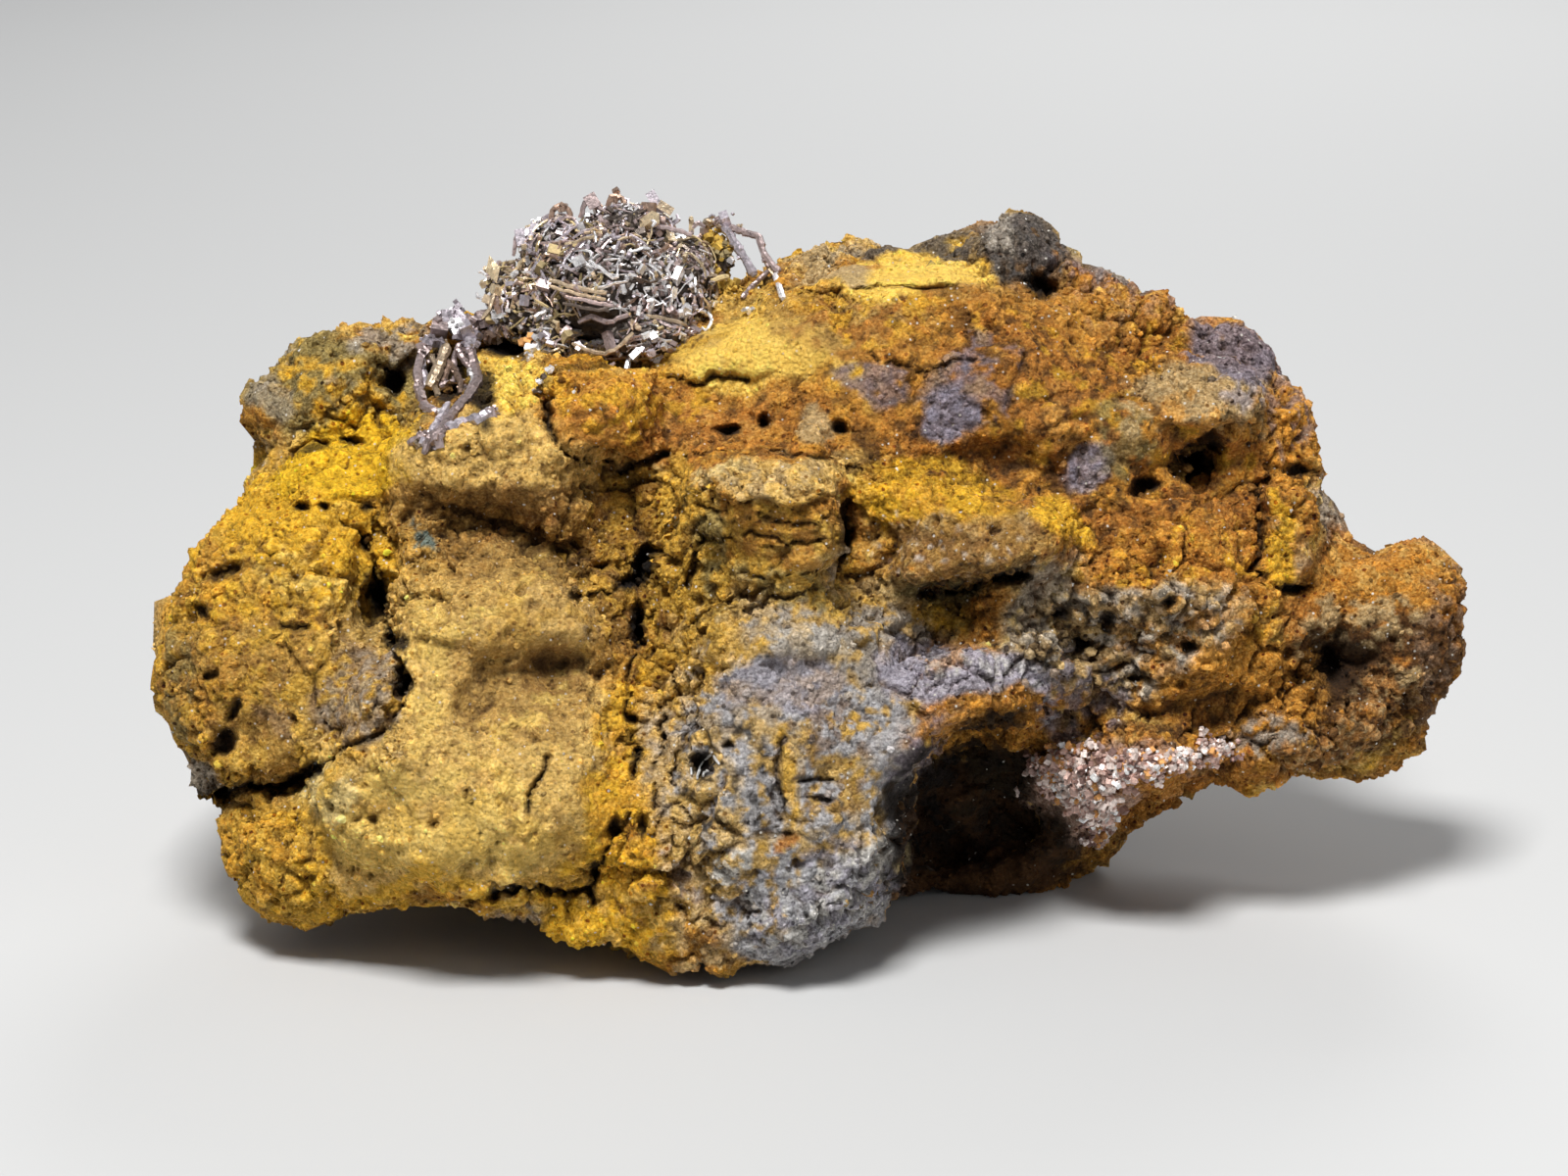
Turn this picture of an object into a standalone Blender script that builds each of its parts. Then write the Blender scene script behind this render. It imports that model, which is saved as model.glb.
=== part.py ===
"""Native copper on a lump of limonite, a hand specimen about 53 mm wide.

Metres, +Z up, standing on z = 0 with the middle of its box at the origin. The stone is
described as it looks from one fixed viewing point, low and square in front of it: a place
in the tables is (across, up, near) in millimetres, where across and up lie in the picture
plane through the stone and near is the distance in front of that plane.
"""

import math
import random

import bmesh
import bpy
import numpy as np
from mathutils import Vector, noise
from mathutils.bvhtree import BVHTree

MM = 0.001
GAP = 0.3
GAP_SPARE = 0.06

# The viewing point, and the place in the picture plane that it looks straight at
VIEW_DISTANCE = 180.0
VIEW_ELEVATION = math.radians(16)
SIGHT_ACROSS = -1.2
SIGHT_UP = 16.2

# How near the front tip stands, and where the middle of the specimen's box lies
TIP_NEAR = 5.0
BOX_MIDDLE_X = 0.45
BOX_MIDDLE_Y = 9.45

# The stone's silhouette, clockwise from its left end, seen from STONE_MIDDLE
STONE_MIDDLE = (-0.4, 15.8)
STONE_FRONT = 3.6
STONE_BACK = 15.0
UNDERSIDE_LIFT = 0.4
SILHOUETTE = [
    (-26.3, 14.8, -1.5), (-25.8, 17.0, -1.5), (-24.3, 18.4, -2.0), (-23.2, 20.2, -2.5),
    (-21.4, 22.0, -3.0), (-19.0, 23.3, -4.0), (-16.2, 25.0, -5.0), (-14.6, 26.9, -5.5),
    (-9.2, 27.6, -6.0), (-4.4, 28.2, -6.0), (-1.0, 29.5, -5.5), (4.4, 30.1, -5.5),
    (6.6, 30.3, -5.0), (8.0, 30.9, -4.0), (9.8, 29.0, -4.0), (13.0, 28.6, -4.0),
    (14.3, 28.0, -4.0), (15.1, 26.8, -4.5), (16.9, 26.3, -5.0), (19.4, 24.3, -4.5),
    (20.8, 21.8, -4.0), (20.7, 20.4, -4.0), (22.2, 18.1, -4.0), (23.8, 15.5, -4.0),
    (24.2, 12.2, -4.5), (22.3, 9.3, -5.0), (18.0, 8.7, -6.5), (15.0, 7.3, -8.0),
    (11.0, 5.3, -8.0), (8.6, 4.1, -7.5), (5.2, 3.4, -6.5), (2.6, 3.9, -4.0),
    (0.8, 2.7, 1.5), (-1.2, 1.6, 3.5), (-4.4, 0.3, 5.0), (-5.6, -0.1, 5.0),
    (-7.2, 0.7, 5.0), (-9.6, 1.0, 4.8), (-10.6, 2.4, 4.6), (-13.2, 3.1, 4.6),
    (-16.0, 3.6, 4.5), (-18.2, 2.7, 4.0), (-21.2, 3.2, 3.0), (-23.4, 5.6, 2.0),
    (-22.7, 7.0, 1.0), (-25.2, 7.6, -1.0), (-25.1, 9.8, -1.5), (-26.2, 12.6, -1.5),
]

# Lumps joined to the main mass: place, half sizes, turn in the picture plane in degrees, and
# how round they are, from 1 for an ellipsoid towards 0 for a box
LUMPS = {
    "left boss": ((-21.6, 13.6, 0.2), (4.9, 5.9, 4.4), 8, 0.9),
    "boss shoulder": ((-20.2, 19.2, -1.4), (3.6, 2.6, 3.6), 30, 1),
    "grey knob": ((-24.6, 8.4, 0.5), (0.9, 0.7, 1.2), 0, 1),
    "left slab": ((-13.4, 8.6, 2.2), (6.6, 5.0, 5.6), -4, 0.62),
    "slab middle": ((-12.6, 13.8, 1.0), (5.4, 4.8, 5.2), 0, 0.85),
    "slab crest": ((-11.6, 21.8, -1.4), (4.6, 3.0, 5.4), 8, 1),
    "slab neck": ((-12.4, 18.2, -0.8), (4.8, 2.8, 4.6), 0, 0.9),
    "slab's upper left": ((-15.8, 19.0, -0.8), (2.0, 4.2, 5.0), -8, 0.85),
    "fissure rubble": ((-7.2, 7.4, 1.6), (2.2, 6.8, 5.2), 0, 0.9),
    "upper rubble": ((-7.8, 15.4, 0.4), (2.4, 3.2, 4.2), 0, 0.9),
    "bottom left wedge": ((-21.2, 4.9, 1.6), (2.6, 1.9, 2.8), -20, 0.8),
    "upper left lobe": ((-19.7, 24.4, -5.5), (3.9, 1.9, 3.4), 25, 0.85),
    "lobe knob": ((-16.6, 26.0, -5.0), (1.5, 1.3, 2.0), 20, 0.9),
    "knob under the nest": ((-8.9, 23.4, 1.4), (2.2, 2.2, 2.8), 0, 0.9),
    "arch block": ((-1.4, 18.5, 2.8), (2.7, 2.9, 4.4), -3, 0.6),
    "arch cap": ((-1.8, 20.6, 3.0), (2.9, 0.8, 3.8), -2, 0.7),
    "left rib": ((-5.0, 18.2, 2.4), (0.9, 3.4, 3.6), -10, 0.8),
    "round bump": ((-0.1, 22.7, 4.4), (0.8, 0.8, 1.2), 0, 1),
    "lens mound": ((6.6, 18.0, 2.4), (4.1, 1.9, 3.4), 14, 0.85),
    "lens root": ((4.4, 19.6, 1.6), (2.8, 1.7, 3.6), 0, 0.8),
    "grey mass": ((-1.6, 8.0, 1.2), (5.2, 6.4, 6.0), -8, 0.72),
    "grey shoulder": ((-1.0, 13.2, 1.4), (4.4, 3.0, 5.4), -12, 0.8),
    "grey edge": ((2.2, 8.6, 2.6), (1.6, 4.2, 3.4), -28, 0.8),
    "recess brow": ((5.4, 12.0, 1.6), (3.0, 1.4, 4.2), 24, 0.8),
    "brow's end": ((8.8, 13.4, 0.6), (2.4, 1.2, 3.6), 24, 0.8),
    "recess knob": ((8.2, 10.9, 1.6), (1.0, 0.9, 1.8), 0, 0.9),
    "crust brow": ((12.4, 8.9, -1.8), (3.8, 1.5, 3.4), 14, 0.8),
    "brown slope": ((5.0, 23.6, -2.6), (10.5, 5.6, 5.2), -4, 1),
    "peak": ((8.2, 29.8, -4.4), (1.3, 1.3, 2.2), -40, 0.7),
    "peak's back": ((10.6, 28.3, -4.6), (2.2, 1.0, 2.4), -20, 0.8),
    "right ledge": ((15.2, 23.8, -2.4), (3.3, 1.6, 3.8), -8, 0.7),
    "ledge knob": ((12.6, 22.4, -0.9), (2.0, 1.5, 2.8), 10, 0.8),
    "right bulge": ((19.4, 22.2, -3.8), (1.6, 2.3, 2.6), 10, 0.8),
    "back of the ledge": ((16.6, 26.0, -5.6), (2.6, 1.0, 2.2), -25, 0.8),
    "right flank": ((13.6, 14.8, -2.4), (6.6, 4.4, 4.8), -5, 1),
    "flank knob": ((15.2, 18.2, -1.2), (2.4, 1.3, 3.2), 0, 0.8),
    "yellow strip": ((19.2, 18.0, -2.2), (0.9, 2.2, 2.2), 5, 0.7),
    "right wing": ((23.6, 14.8, -4.4), (2.9, 3.2, 3.4), -12, 0.8),
    "wing's foot": ((22.4, 10.8, -4.6), (2.4, 2.0, 3.2), 20, 0.8),
    "lower right": ((18.4, 10.8, -3.4), (3.2, 2.2, 3.8), -6, 0.8),
    "dark underside": ((6.4, 7.2, -9.0), (5.4, 3.8, 5.0), 0, 0.9),
    "left foot": ((-13.0, 8.6, -9.0), (6.0, 4.2, 5.0), 8, 0.8),
    "right foot": ((7.6, 10.0, -12.6), (5.0, 4.4, 4.6), -6, 0.75),
    "back hump": ((-6.0, 18.0, -11.5), (8.0, 7.4, 6.0), 20, 0.6),
    "back ridge": ((10.0, 17.5, -10.4), (6.4, 5.6, 5.0), -25, 0.6),
    "back left": ((-17.0, 15.6, -7.5), (5.0, 6.0, 5.0), 15, 0.7),
}

# Hollows and low swells of the front: place, half sizes, turn, height (below zero is a hollow),
# and how soft the edge is, from 0 for a step to 1 for a slope that starts in the middle
SWELLS = {
    "dark recess": ((6.6, 7.6), (4.3, 3.5), 30, -5.0, 0.4),
    "recess floor": ((4.4, 5.6), (2.4, 2.0), 0, -2.0, 0.5),
    "recess end": ((10.2, 7.6), (2.0, 1.4), 20, -2.0, 0.5),
    "under the slab crest": ((-12.4, 18.4), (4.4, 1.7), -14, -1.2, 1.0),
    "slab dimple": ((-11.2, 13.2), (2.4, 1.5), -20, -1.2, 1.0),
    "slab valley": ((-16.0, 19.4), (1.6, 1.2), -20, -0.9, 1.0),
    "upper fissure hole": ((-7.0, 17.2), (0.7, 1.2), -10, -3.0, 0.5),
    "lower fissure hole": ((-7.2, 14.5), (0.7, 1.2), 0, -2.8, 0.5),
    "fissure pit": ((-9.8, 15.9), (0.5, 0.4), 0, -1.0, 0.6),
    "arch slot": ((1.35, 18.4), (0.5, 1.6), 3, -3.0, 0.5),
    "beside the rib": ((-3.9, 17.4), (0.5, 2.2), -8, -1.4, 0.7),
    "arch foot": ((-1.4, 15.6), (2.8, 0.9), 5, -0.9, 1.0),
    "boss pit": ((-17.9, 16.3), (0.7, 1.7), 5, -3.2, 0.5),
    "boss groove": ((-23.9, 16.9), (0.8, 0.4), 20, -0.9, 0.7),
    "boss slit": ((-23.6, 11.3), (0.4, 0.8), 0, -0.9, 0.7),
    "boss hole": ((-24.1, 10.0), (0.6, 0.7), 0, -1.2, 0.6),
    "lobe hole": ((-17.2, 24.8), (0.9, 0.9), 0, -2.4, 0.5),
    "lobe slit": ((-19.8, 22.5), (1.8, 0.5), 15, -1.6, 0.6),
    "yellow shelf": ((-2.2, 26.1), (3.9, 1.5), 10, 0.6, 0.2),
    "shelf above": ((3.6, 28.9), (3.6, 1.0), 4, 0.5, 0.4),
    "dark patch": ((1.6, 21.8), (0.9, 1.3), -10, -1.1, 0.7),
    "slope pits": ((-3.0, 22.8), (1.2, 0.5), 15, -0.8, 0.7),
    "peak cavity": ((9.3, 28.6), (0.9, 0.6), -20, -1.8, 0.5),
    "ledge cavity": ((15.6, 21.4), (1.4, 1.1), 25, -3.2, 0.5),
    "ledge's lower pit": ((13.7, 20.4), (0.7, 0.5), 0, -1.6, 0.6),
    "slope valley": ((9.8, 20.8), (2.6, 0.9), 20, -0.9, 1.0),
    "under the lens": ((6.2, 16.2), (3.0, 0.6), 8, -2.2, 0.6),
    "lens end": ((8.6, 16.9), (1.2, 0.6), 15, -1.6, 0.5),
    "bulge notch": ((19.8, 21.0), (0.8, 0.5), 0, -1.4, 0.6),
    "wing notch": ((19.5, 16.1), (0.9, 0.45), -5, -1.8, 0.5),
    "wing hollow": ((21.3, 13.2), (1.1, 1.9), 12, -2.6, 0.7),
    "flank pits": ((11.0, 14.2), (1.8, 1.1), -10, -1.8, 0.6),
    "flank's lower pits": ((14.6, 12.6), (1.6, 0.7), 0, -1.4, 0.6),
    "grey pit": ((-4.6, 8.9), (0.6, 0.7), 0, -1.3, 0.5),
    "grey lens": ((-0.4, 13.9), (1.4, 0.8), 10, 0.6, 0.5),
    "grey dimple": ((0.2, 8.6), (1.4, 1.0), 0, -0.8, 0.9),
    "under the boss": ((-21.4, 8.4), (2.2, 0.55), -6, -2.2, 0.5),
}

# Grooves and ridges: half width, height (below zero is a groove), and the line
LINES = {
    "boss crack": (0.5, -2.2, [(-17.8, 18.4), (-17.8, 15.4), (-17.2, 13.8), (-16.5, 12.2),
                               (-17.2, 10.6), (-19.0, 9.4), (-20.6, 8.7)]),
    "fissure": (0.4, -0.8, [(-6.4, 19.4), (-7.1, 17.0), (-7.4, 14.6), (-8.0, 12.0),
                             (-7.4, 9.4), (-7.9, 6.6), (-7.6, 4.2)]),
    "knob arc": (0.3, -1.1, [(-11.0, 24.4), (-10.8, 22.8), (-9.4, 21.5), (-7.6, 21.2),
                             (-6.0, 21.8)]),
    "shelf lip": (0.28, -1.0, [(-5.8, 24.5), (-2.8, 24.6), (0.6, 25.7), (1.6, 26.4)]),
    "wing crack": (0.35, -1.3, [(18.2, 20.8), (18.0, 18.4), (18.2, 16.4)]),
    "slab's foot": (0.35, -1.0, [(-13.0, 3.7), (-11.2, 3.9), (-9.2, 4.2)]),
    "slab crack": (0.25, -0.8, [(-11.0, 9.2), (-11.3, 8.0), (-11.8, 7.0)]),
    "grey crack": (0.25, -0.8, [(-1.4, 10.6), (-1.5, 8.4), (-1.3, 6.4)]),
    "grey rim": (0.6, 0.7, [(-3.4, 1.2), (0.2, 3.0), (1.8, 4.6)]),
    "yellow edge": (0.5, 0.6, [(-9.0, 2.0), (-7.2, 3.2), (-6.4, 5.6)]),
}

# How craggy the front is: 1 where no patch lies, and place, half sizes and amount for each patch
SMOOTHER = {
    "slab": ((-13.0, 11.5), (5.6, 8.5), 0.25),
    "shelf": ((-2.0, 27.0), (5.0, 2.6), 0.15),
    "boss": ((-21.6, 14.6), (4.4, 5.4), 0.5),
    "grey mass": ((-1.0, 10.4), (4.4, 5.0), 0.5),
    "brown slope": ((5.0, 24.0), (7.0, 3.4), 0.45),
}

# The nest of copper wire is a low dome of a few lumps, with bent wires winding over it and
# crystals standing out of it
NEST_LUMPS = {
    "dome": ((-8.6, 28.2, -3.4), (3.3, 2.6, 3.0), 0, 1),
    "left end": ((-11.2, 27.8, -3.2), (1.2, 1.6, 1.7), 0, 1),
    "right end": ((-5.9, 28.2, -3.4), (1.3, 1.8, 2.0), 0, 1),
    "top": ((-7.8, 30.4, -3.8), (1.8, 1.4, 1.7), 0, 1),
    "front foot": ((-6.8, 26.4, -1.6), (2.0, 0.9, 1.5), 0, 1),
}
NEST_CRYSTALS = 60
NEST_CRYSTAL_LENGTH = (1.2, 2.2)
NEST_CRYSTAL_WIDTH = 0.7
NEST_WIRES = 90
NEST_WIRE_SPAN = 2.6
NEST_WIRE_RISE = (0.5, 1.1)
NEST_WIRE = (0.2, 0.32)
NEST_WIRE_CHOICES = 12
NEST_LEAN = 0.7
NEST_TRIANGLES = 1450

# Bent wires: half width, and the line
LOOP_WIRES = {
    "outer ring": (0.24, [(-16.1, 26.4, -3.2), (-16.4, 25.0, -2.2), (-15.9, 23.8, -1.2),
                          (-15.1, 23.2, -0.6), (-14.3, 23.6, -0.8), (-13.7, 24.8, -1.8),
                          (-13.6, 26.0, -2.8), (-14.2, 27.0, -3.8), (-15.2, 27.1, -3.9),
                          (-16.1, 26.4, -3.2)]),
    "inner ring": (0.2, [(-15.0, 26.6, -3.4), (-15.3, 25.4, -2.2), (-14.8, 24.2, -1.0),
                         (-14.2, 24.6, -1.2), (-14.1, 25.8, -2.4), (-14.7, 26.8, -3.6)]),
    "cross wire": (0.2, [(-16.2, 25.6, -2.6), (-15.2, 25.0, -1.6), (-13.8, 25.4, -2.2)]),
    "stub": (0.34, [(-16.2, 22.3, 0.2), (-15.2, 23.0, -0.2), (-14.2, 23.2, -0.4),
                    (-13.2, 23.5, -0.8)]),
    "stub's arm": (0.26, [(-15.4, 22.9, -0.1), (-15.8, 23.8, -1.1)]),
    "dark tip": (0.26, [(-15.6, 22.8, -0.1), (-15.7, 21.7, 0.8)]),
    "crown": (0.42, [(-15.0, 27.0, -3.8), (-14.2, 27.4, -4.2), (-13.9, 26.7, -3.8)]),
}
LOOP_TRIANGLES = 600
SPRIG_WIRES = {
    "arch": (0.24, [(-3.3, 28.6, -4.6), (-3.5, 30.2, -4.4), (-3.2, 30.9, -4.2),
                    (-2.4, 30.4, -3.8), (-1.6, 29.2, -3.4), (-1.3, 28.0, -3.2)]),
    "second wire": (0.2, [(-3.4, 29.4, -4.4), (-2.8, 29.9, -3.9), (-2.2, 29.2, -3.5),
                          (-2.0, 28.3, -3.3)]),
    "diagonal": (0.2, [(-2.8, 28.0, -3.2), (-1.7, 29.1, -3.3)]),
    "stub": (0.28, [(-1.5, 28.9, -3.3), (-1.3, 28.4, -2.8)]),
    "head": (0.42, [(-3.7, 30.8, -4.4), (-2.9, 31.0, -4.2)]),
    "root": (0.5, [(-3.2, 28.0, -5.0), (-3.3, 29.2, -4.6)]),
}
SPRIG_TRIANGLES = 400

# The crust of small crystals follows the edge above the dark recess
CRUST_LINE = [(9.0, 9.4), (10.4, 9.2), (11.6, 8.3), (13.0, 8.6), (14.4, 9.0), (16.2, 9.6)]
CRUST_HANGING = [(11.4, 8.4), (11.6, 7.2), (11.8, 6.2)]
CRUST_STEP = 0.35
CRUST_SPREAD = 0.8
CRUST_CRYSTAL = (0.4, 0.65)
CRUST_HEIGHT = 0.5
CRUST_TRIANGLES = 500

COLOURS = {
    "limonite_matrix": ((0.52, 0.29, 0.06), 0.0, 0.9),
    "copper_wire_nest": ((0.36, 0.27, 0.24), 0.85, 0.38),
    "copper_wire_loops": ((0.34, 0.25, 0.22), 0.85, 0.42),
    "copper_wire_sprig": ((0.38, 0.29, 0.26), 0.85, 0.38),
    "copper_crystal_crust": ((0.58, 0.37, 0.31), 0.7, 0.4),
}

# How finely the first balls and the one skin over them are divided
MAIN_BALL = (144, 72)
LUMP_BALL = (48, 24)
VOXEL = 0.42
COPPER_VOXEL = 0.14

# The sizes and heights of the crags and of the noise all over, and how the front and the back
# take them over from the silhouette's depth
WARP = (4.5, 0.8)
CRAGS = [(4.0, 1.5), (2.0, 1.4)]
FRONT_BLEND = 2.5
BACK_BLEND = 2.5
BACK_CRAGS = [(8.0, 3.2), (3.6, 1.8)]
ROUGHNESS = [(6.0, 0.6), (2.4, 0.5), (1.2, 0.35)]
STONE_TRIANGLES = 6850
TABLE = (200, 200, 20)


def place(across, up, near):
    """The world points, in metres, that show at (across, up) and lie near in front of the plane."""
    across, up, near = (np.asarray(v, float) for v in (across, up, near))
    closeness = 1 - near / VIEW_DISTANCE
    side = SIGHT_ACROSS + (across - SIGHT_ACROSS) * closeness
    rise = SIGHT_UP + (up - SIGHT_UP) * closeness
    sine, cosine = math.sin(VIEW_ELEVATION), math.cos(VIEW_ELEVATION)
    return MM * np.stack([
        side - BOX_MIDDLE_X,
        rise * sine - near * cosine - BOX_MIDDLE_Y,
        rise * cosine + (near - TIP_NEAR) * sine,
    ], axis=-1)


def seen(points):
    """(across, up, near) in millimetres of world points in metres: the inverse of place."""
    x, y, z = (points / MM).T
    sine, cosine = math.sin(VIEW_ELEVATION), math.cos(VIEW_ELEVATION)
    y = y + BOX_MIDDLE_Y
    z = z + TIP_NEAR * sine
    near = z * sine - y * cosine
    closeness = 1 - near / VIEW_DISTANCE
    across = SIGHT_ACROSS + (x + BOX_MIDDLE_X - SIGHT_ACROSS) / closeness
    up = SIGHT_UP + (y * sine + z * cosine - SIGHT_UP) / closeness
    return across, up, near


def points_of(mesh):
    points = np.empty(len(mesh.vertices) * 3)
    mesh.vertices.foreach_get("co", points)
    return points.reshape(-1, 3)


def normals_of(mesh):
    normals = np.empty(len(mesh.vertices) * 3)
    mesh.vertices.foreach_get("normal", normals)
    return normals.reshape(-1, 3)


def set_points(mesh, points):
    mesh.vertices.foreach_set("co", points.ravel())
    mesh.update()


def smooth_edge(distance, softness):
    """1 in the middle of a shape, where distance is 0, and 0 from its edge, where it is 1."""
    inside = np.clip((1 - distance) / softness, 0, 1)
    return inside * inside * (3 - 2 * inside)


def turned(across, up, degrees):
    """Offsets in the picture plane, measured along the axes of a shape turned by that angle."""
    angle = math.radians(degrees)
    return (
        across * math.cos(angle) + up * math.sin(angle),
        up * math.cos(angle) - across * math.sin(angle),
    )


def distance_to_line(across, up, line):
    nearest = np.full(len(across), np.inf)
    for (x0, y0), (x1, y1) in zip(line, line[1:]):
        dx, dy = x1 - x0, y1 - y0
        share = np.clip(((across - x0) * dx + (up - y0) * dy) / (dx * dx + dy * dy), 0, 1)
        nearest = np.minimum(nearest, np.hypot(across - x0 - share * dx, up - y0 - share * dy))
    return nearest


def cells_at(points, size, seed):
    """Knobs about size millimetres apart: near 0.5 in the middle of each, below 0 between them."""
    start = Vector((seed * 7.3, seed * 3.1, size))
    return np.array([0.5 - noise.voronoi(start + Vector(p))[0][0] for p in points / (size * MM)])


def noise_at(points, size, seed):
    """Smooth noise between about -1 and 1 whose bumps are about size millimetres across."""
    start = Vector((seed * 7.3, seed * 3.1, size))
    return np.array([noise.noise(start + Vector(p)) for p in points / (size * MM)])


def rim_at(angle):
    """The silhouette's distance from STONE_MIDDLE, and its nearness, in each direction."""
    outline = np.array(SILHOUETTE)
    dx, dy = outline[:, 0] - STONE_MIDDLE[0], outline[:, 1] - STONE_MIDDLE[1]
    direction = np.arctan2(dy, dx)
    order = np.argsort(direction)
    reach = np.interp(angle, direction[order], np.hypot(dx, dy)[order], period=2 * math.pi)
    near = np.interp(angle, direction[order], outline[order, 2], period=2 * math.pi)
    return reach, near


def unit_sphere(divisions):
    shape = bmesh.new()
    bmesh.ops.create_uvsphere(
        shape, u_segments=divisions[0], v_segments=divisions[1], radius=1
    )
    mesh = bpy.data.meshes.new("sphere")
    shape.to_mesh(mesh)
    shape.free()
    return mesh


def main_mass():
    """A sphere, its poles towards and away from the viewer, drawn out to the silhouette."""
    mesh = unit_sphere(MAIN_BALL)
    x, y, z = points_of(mesh).T
    spread = np.hypot(x, y)
    angle = np.arctan2(y, x)
    reach, rim_near = rim_at(angle)
    thick = np.where(z > 0, STONE_FRONT, STONE_BACK)
    lift = UNDERSIDE_LIFT * STONE_BACK * np.clip(-z, 0, 1) ** 1.5 * (1 - np.sin(angle)) / 2
    set_points(mesh, place(
        STONE_MIDDLE[0] + spread * reach * np.cos(angle),
        STONE_MIDDLE[1] + spread * reach * np.sin(angle) + lift,
        rim_near * spread ** 2 + z * thick,
    ))
    return mesh


def lump(centre, half, turn, roundness):
    mesh = unit_sphere(LUMP_BALL)
    ball = points_of(mesh)
    along, upward, toward = (np.sign(ball) * np.abs(ball) ** roundness * half).T
    across, up = turned(along, upward, -turn)
    set_points(mesh, place(centre[0] + across, centre[1] + up, centre[2] + toward))
    return mesh


def joined(name, meshes):
    """One object that holds all these meshes' faces."""
    shape = bmesh.new()
    for mesh in meshes:
        shape.from_mesh(mesh)
        bpy.data.meshes.remove(mesh)
    whole = bpy.data.meshes.new(name)
    shape.to_mesh(whole)
    shape.free()
    return bpy.data.objects.new(name, whole)


def applied(thing):
    """The object with its modifiers worked into a new mesh."""
    bpy.context.view_layer.update()
    evaluated = thing.evaluated_get(bpy.context.evaluated_depsgraph_get())
    mesh = bpy.data.meshes.new_from_object(evaluated)
    thing.modifiers.clear()
    thing.data = mesh
    return thing


def remeshed(thing, voxel):
    skin = thing.modifiers.new("one skin", "REMESH")
    skin.mode = "VOXEL"
    skin.voxel_size = voxel * MM
    return applied(thing)


def before_rim(across, up, near):
    """How far in front of the silhouette's own depth each place is, below zero behind it."""
    reach, rim_near = rim_at(np.arctan2(up - STONE_MIDDLE[1], across - STONE_MIDDLE[0]))
    spread = np.clip(np.hypot(across - STONE_MIDDLE[0], up - STONE_MIDDLE[1]) / reach, 0, 1)
    return near - rim_near * spread ** 2


def warp(stone):
    """Shifts the lumps sideways by broad noise, but leaves the silhouette where it is."""
    points = points_of(stone.data)
    across, up, near = seen(points)
    dx, dy = across - STONE_MIDDLE[0], up - STONE_MIDDLE[1]
    reach, _ = rim_at(np.arctan2(dy, dx))
    inside = 1 - np.clip(np.hypot(dx, dy) / reach, 0, 1) ** 4
    size, amount = WARP
    set_points(stone.data, place(
        across + inside * amount * noise_at(points, size, 11),
        up + inside * amount * noise_at(points, size, 12),
        near + inside * amount * noise_at(points, size, 13),
    ))


def press_relief(stone):
    """Moves the front of the stone along the line of sight: crags, swells, grooves and ridges."""
    points = points_of(stone.data)
    across, up, near = seen(points)
    front = np.clip(before_rim(across, up, near) / FRONT_BLEND, 0, 1)
    rough = np.ones(len(near))
    for (x, y), (half_x, half_y), amount in SMOOTHER.values():
        cover = smooth_edge(np.hypot((across - x) / half_x, (up - y) / half_y), 0.5)
        rough *= 1 - cover * (1 - amount)
    shift = np.zeros(len(near))
    for seed, (size, height) in enumerate(CRAGS):
        shift += rough * height * cells_at(points, size, seed)
    for (x, y), (half_x, half_y), turn, height, softness in SWELLS.values():
        along, upward = turned(across - x, up - y, turn)
        shift += height * smooth_edge(np.hypot(along / half_x, upward / half_y), softness)
    for half_width, height, line in LINES.values():
        shift += height * smooth_edge(distance_to_line(across, up, line) / (2 * half_width), 1)
    set_points(stone.data, place(across, up, near + shift * front))


def roughen(stone):
    """Moves the surface along its normals: noise all over, and knobs on the side turned away."""
    points, normals = points_of(stone.data), normals_of(stone.data)
    away = np.clip(-before_rim(*seen(points)) / BACK_BLEND - 1, 0, 1)
    height = sum(depth * noise_at(points, size, 3) for size, depth in ROUGHNESS)
    height += away * sum(depth * cells_at(points, size, 4) for size, depth in BACK_CRAGS)
    set_points(stone.data, points + normals * height[:, None] * MM)


def below_the_table(cutters):
    width, depth, height = TABLE
    bpy.ops.mesh.primitive_cube_add(size=1, location=(0, 0, -height / 2 * MM))
    block = bpy.context.object
    block.name = "below_the_table"
    block.scale = (width * MM, depth * MM, height * MM)
    for holder in list(block.users_collection):
        holder.objects.unlink(block)
    cutters.objects.link(block)
    block.hide_render = True
    block.display_type = "WIRE"
    return block


def thin_out(thing, triangles):
    """Collapses edges until about that many triangles are left."""
    count = sum(len(face.vertices) - 2 for face in thing.data.polygons)
    fewer = thing.modifiers.new("fewer faces", "DECIMATE")
    fewer.ratio = triangles / count
    return applied(thing)


def limonite_matrix(parts, cutters):
    meshes = [main_mass()] + [lump(*shape) for shape in LUMPS.values()]
    stone = joined("limonite_matrix", meshes)
    parts.objects.link(stone)
    remeshed(stone, VOXEL)
    warp(stone)
    press_relief(stone)
    remeshed(stone, VOXEL)
    roughen(stone)
    remeshed(stone, VOXEL)
    thin_out(stone, STONE_TRIANGLES)
    cut = stone.modifiers.new("stands flat", "BOOLEAN")
    cut.operation = "DIFFERENCE"
    cut.object = below_the_table(cutters)
    return applied(stone)


def tree_of(thing):
    shape = bmesh.new()
    shape.from_mesh(thing.data)
    tree = BVHTree.FromBMesh(shape)
    shape.free()
    return tree


def surface_under(tree, across, up):
    """The place on the front of the stone that shows at (across, up), or None."""
    start = Vector(place(across, up, STONE_BACK))
    end = Vector(place(across, up, -STONE_BACK))
    return tree.ray_cast(start, (end - start).normalized())[0]


def surface_near(tree, across, up):
    """How near the stone's front is at (across, up), or far behind it where there is no stone."""
    hit = surface_under(tree, across, up)
    return -VIEW_DISTANCE if hit is None else seen(np.array([hit]))[2][0]


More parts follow.
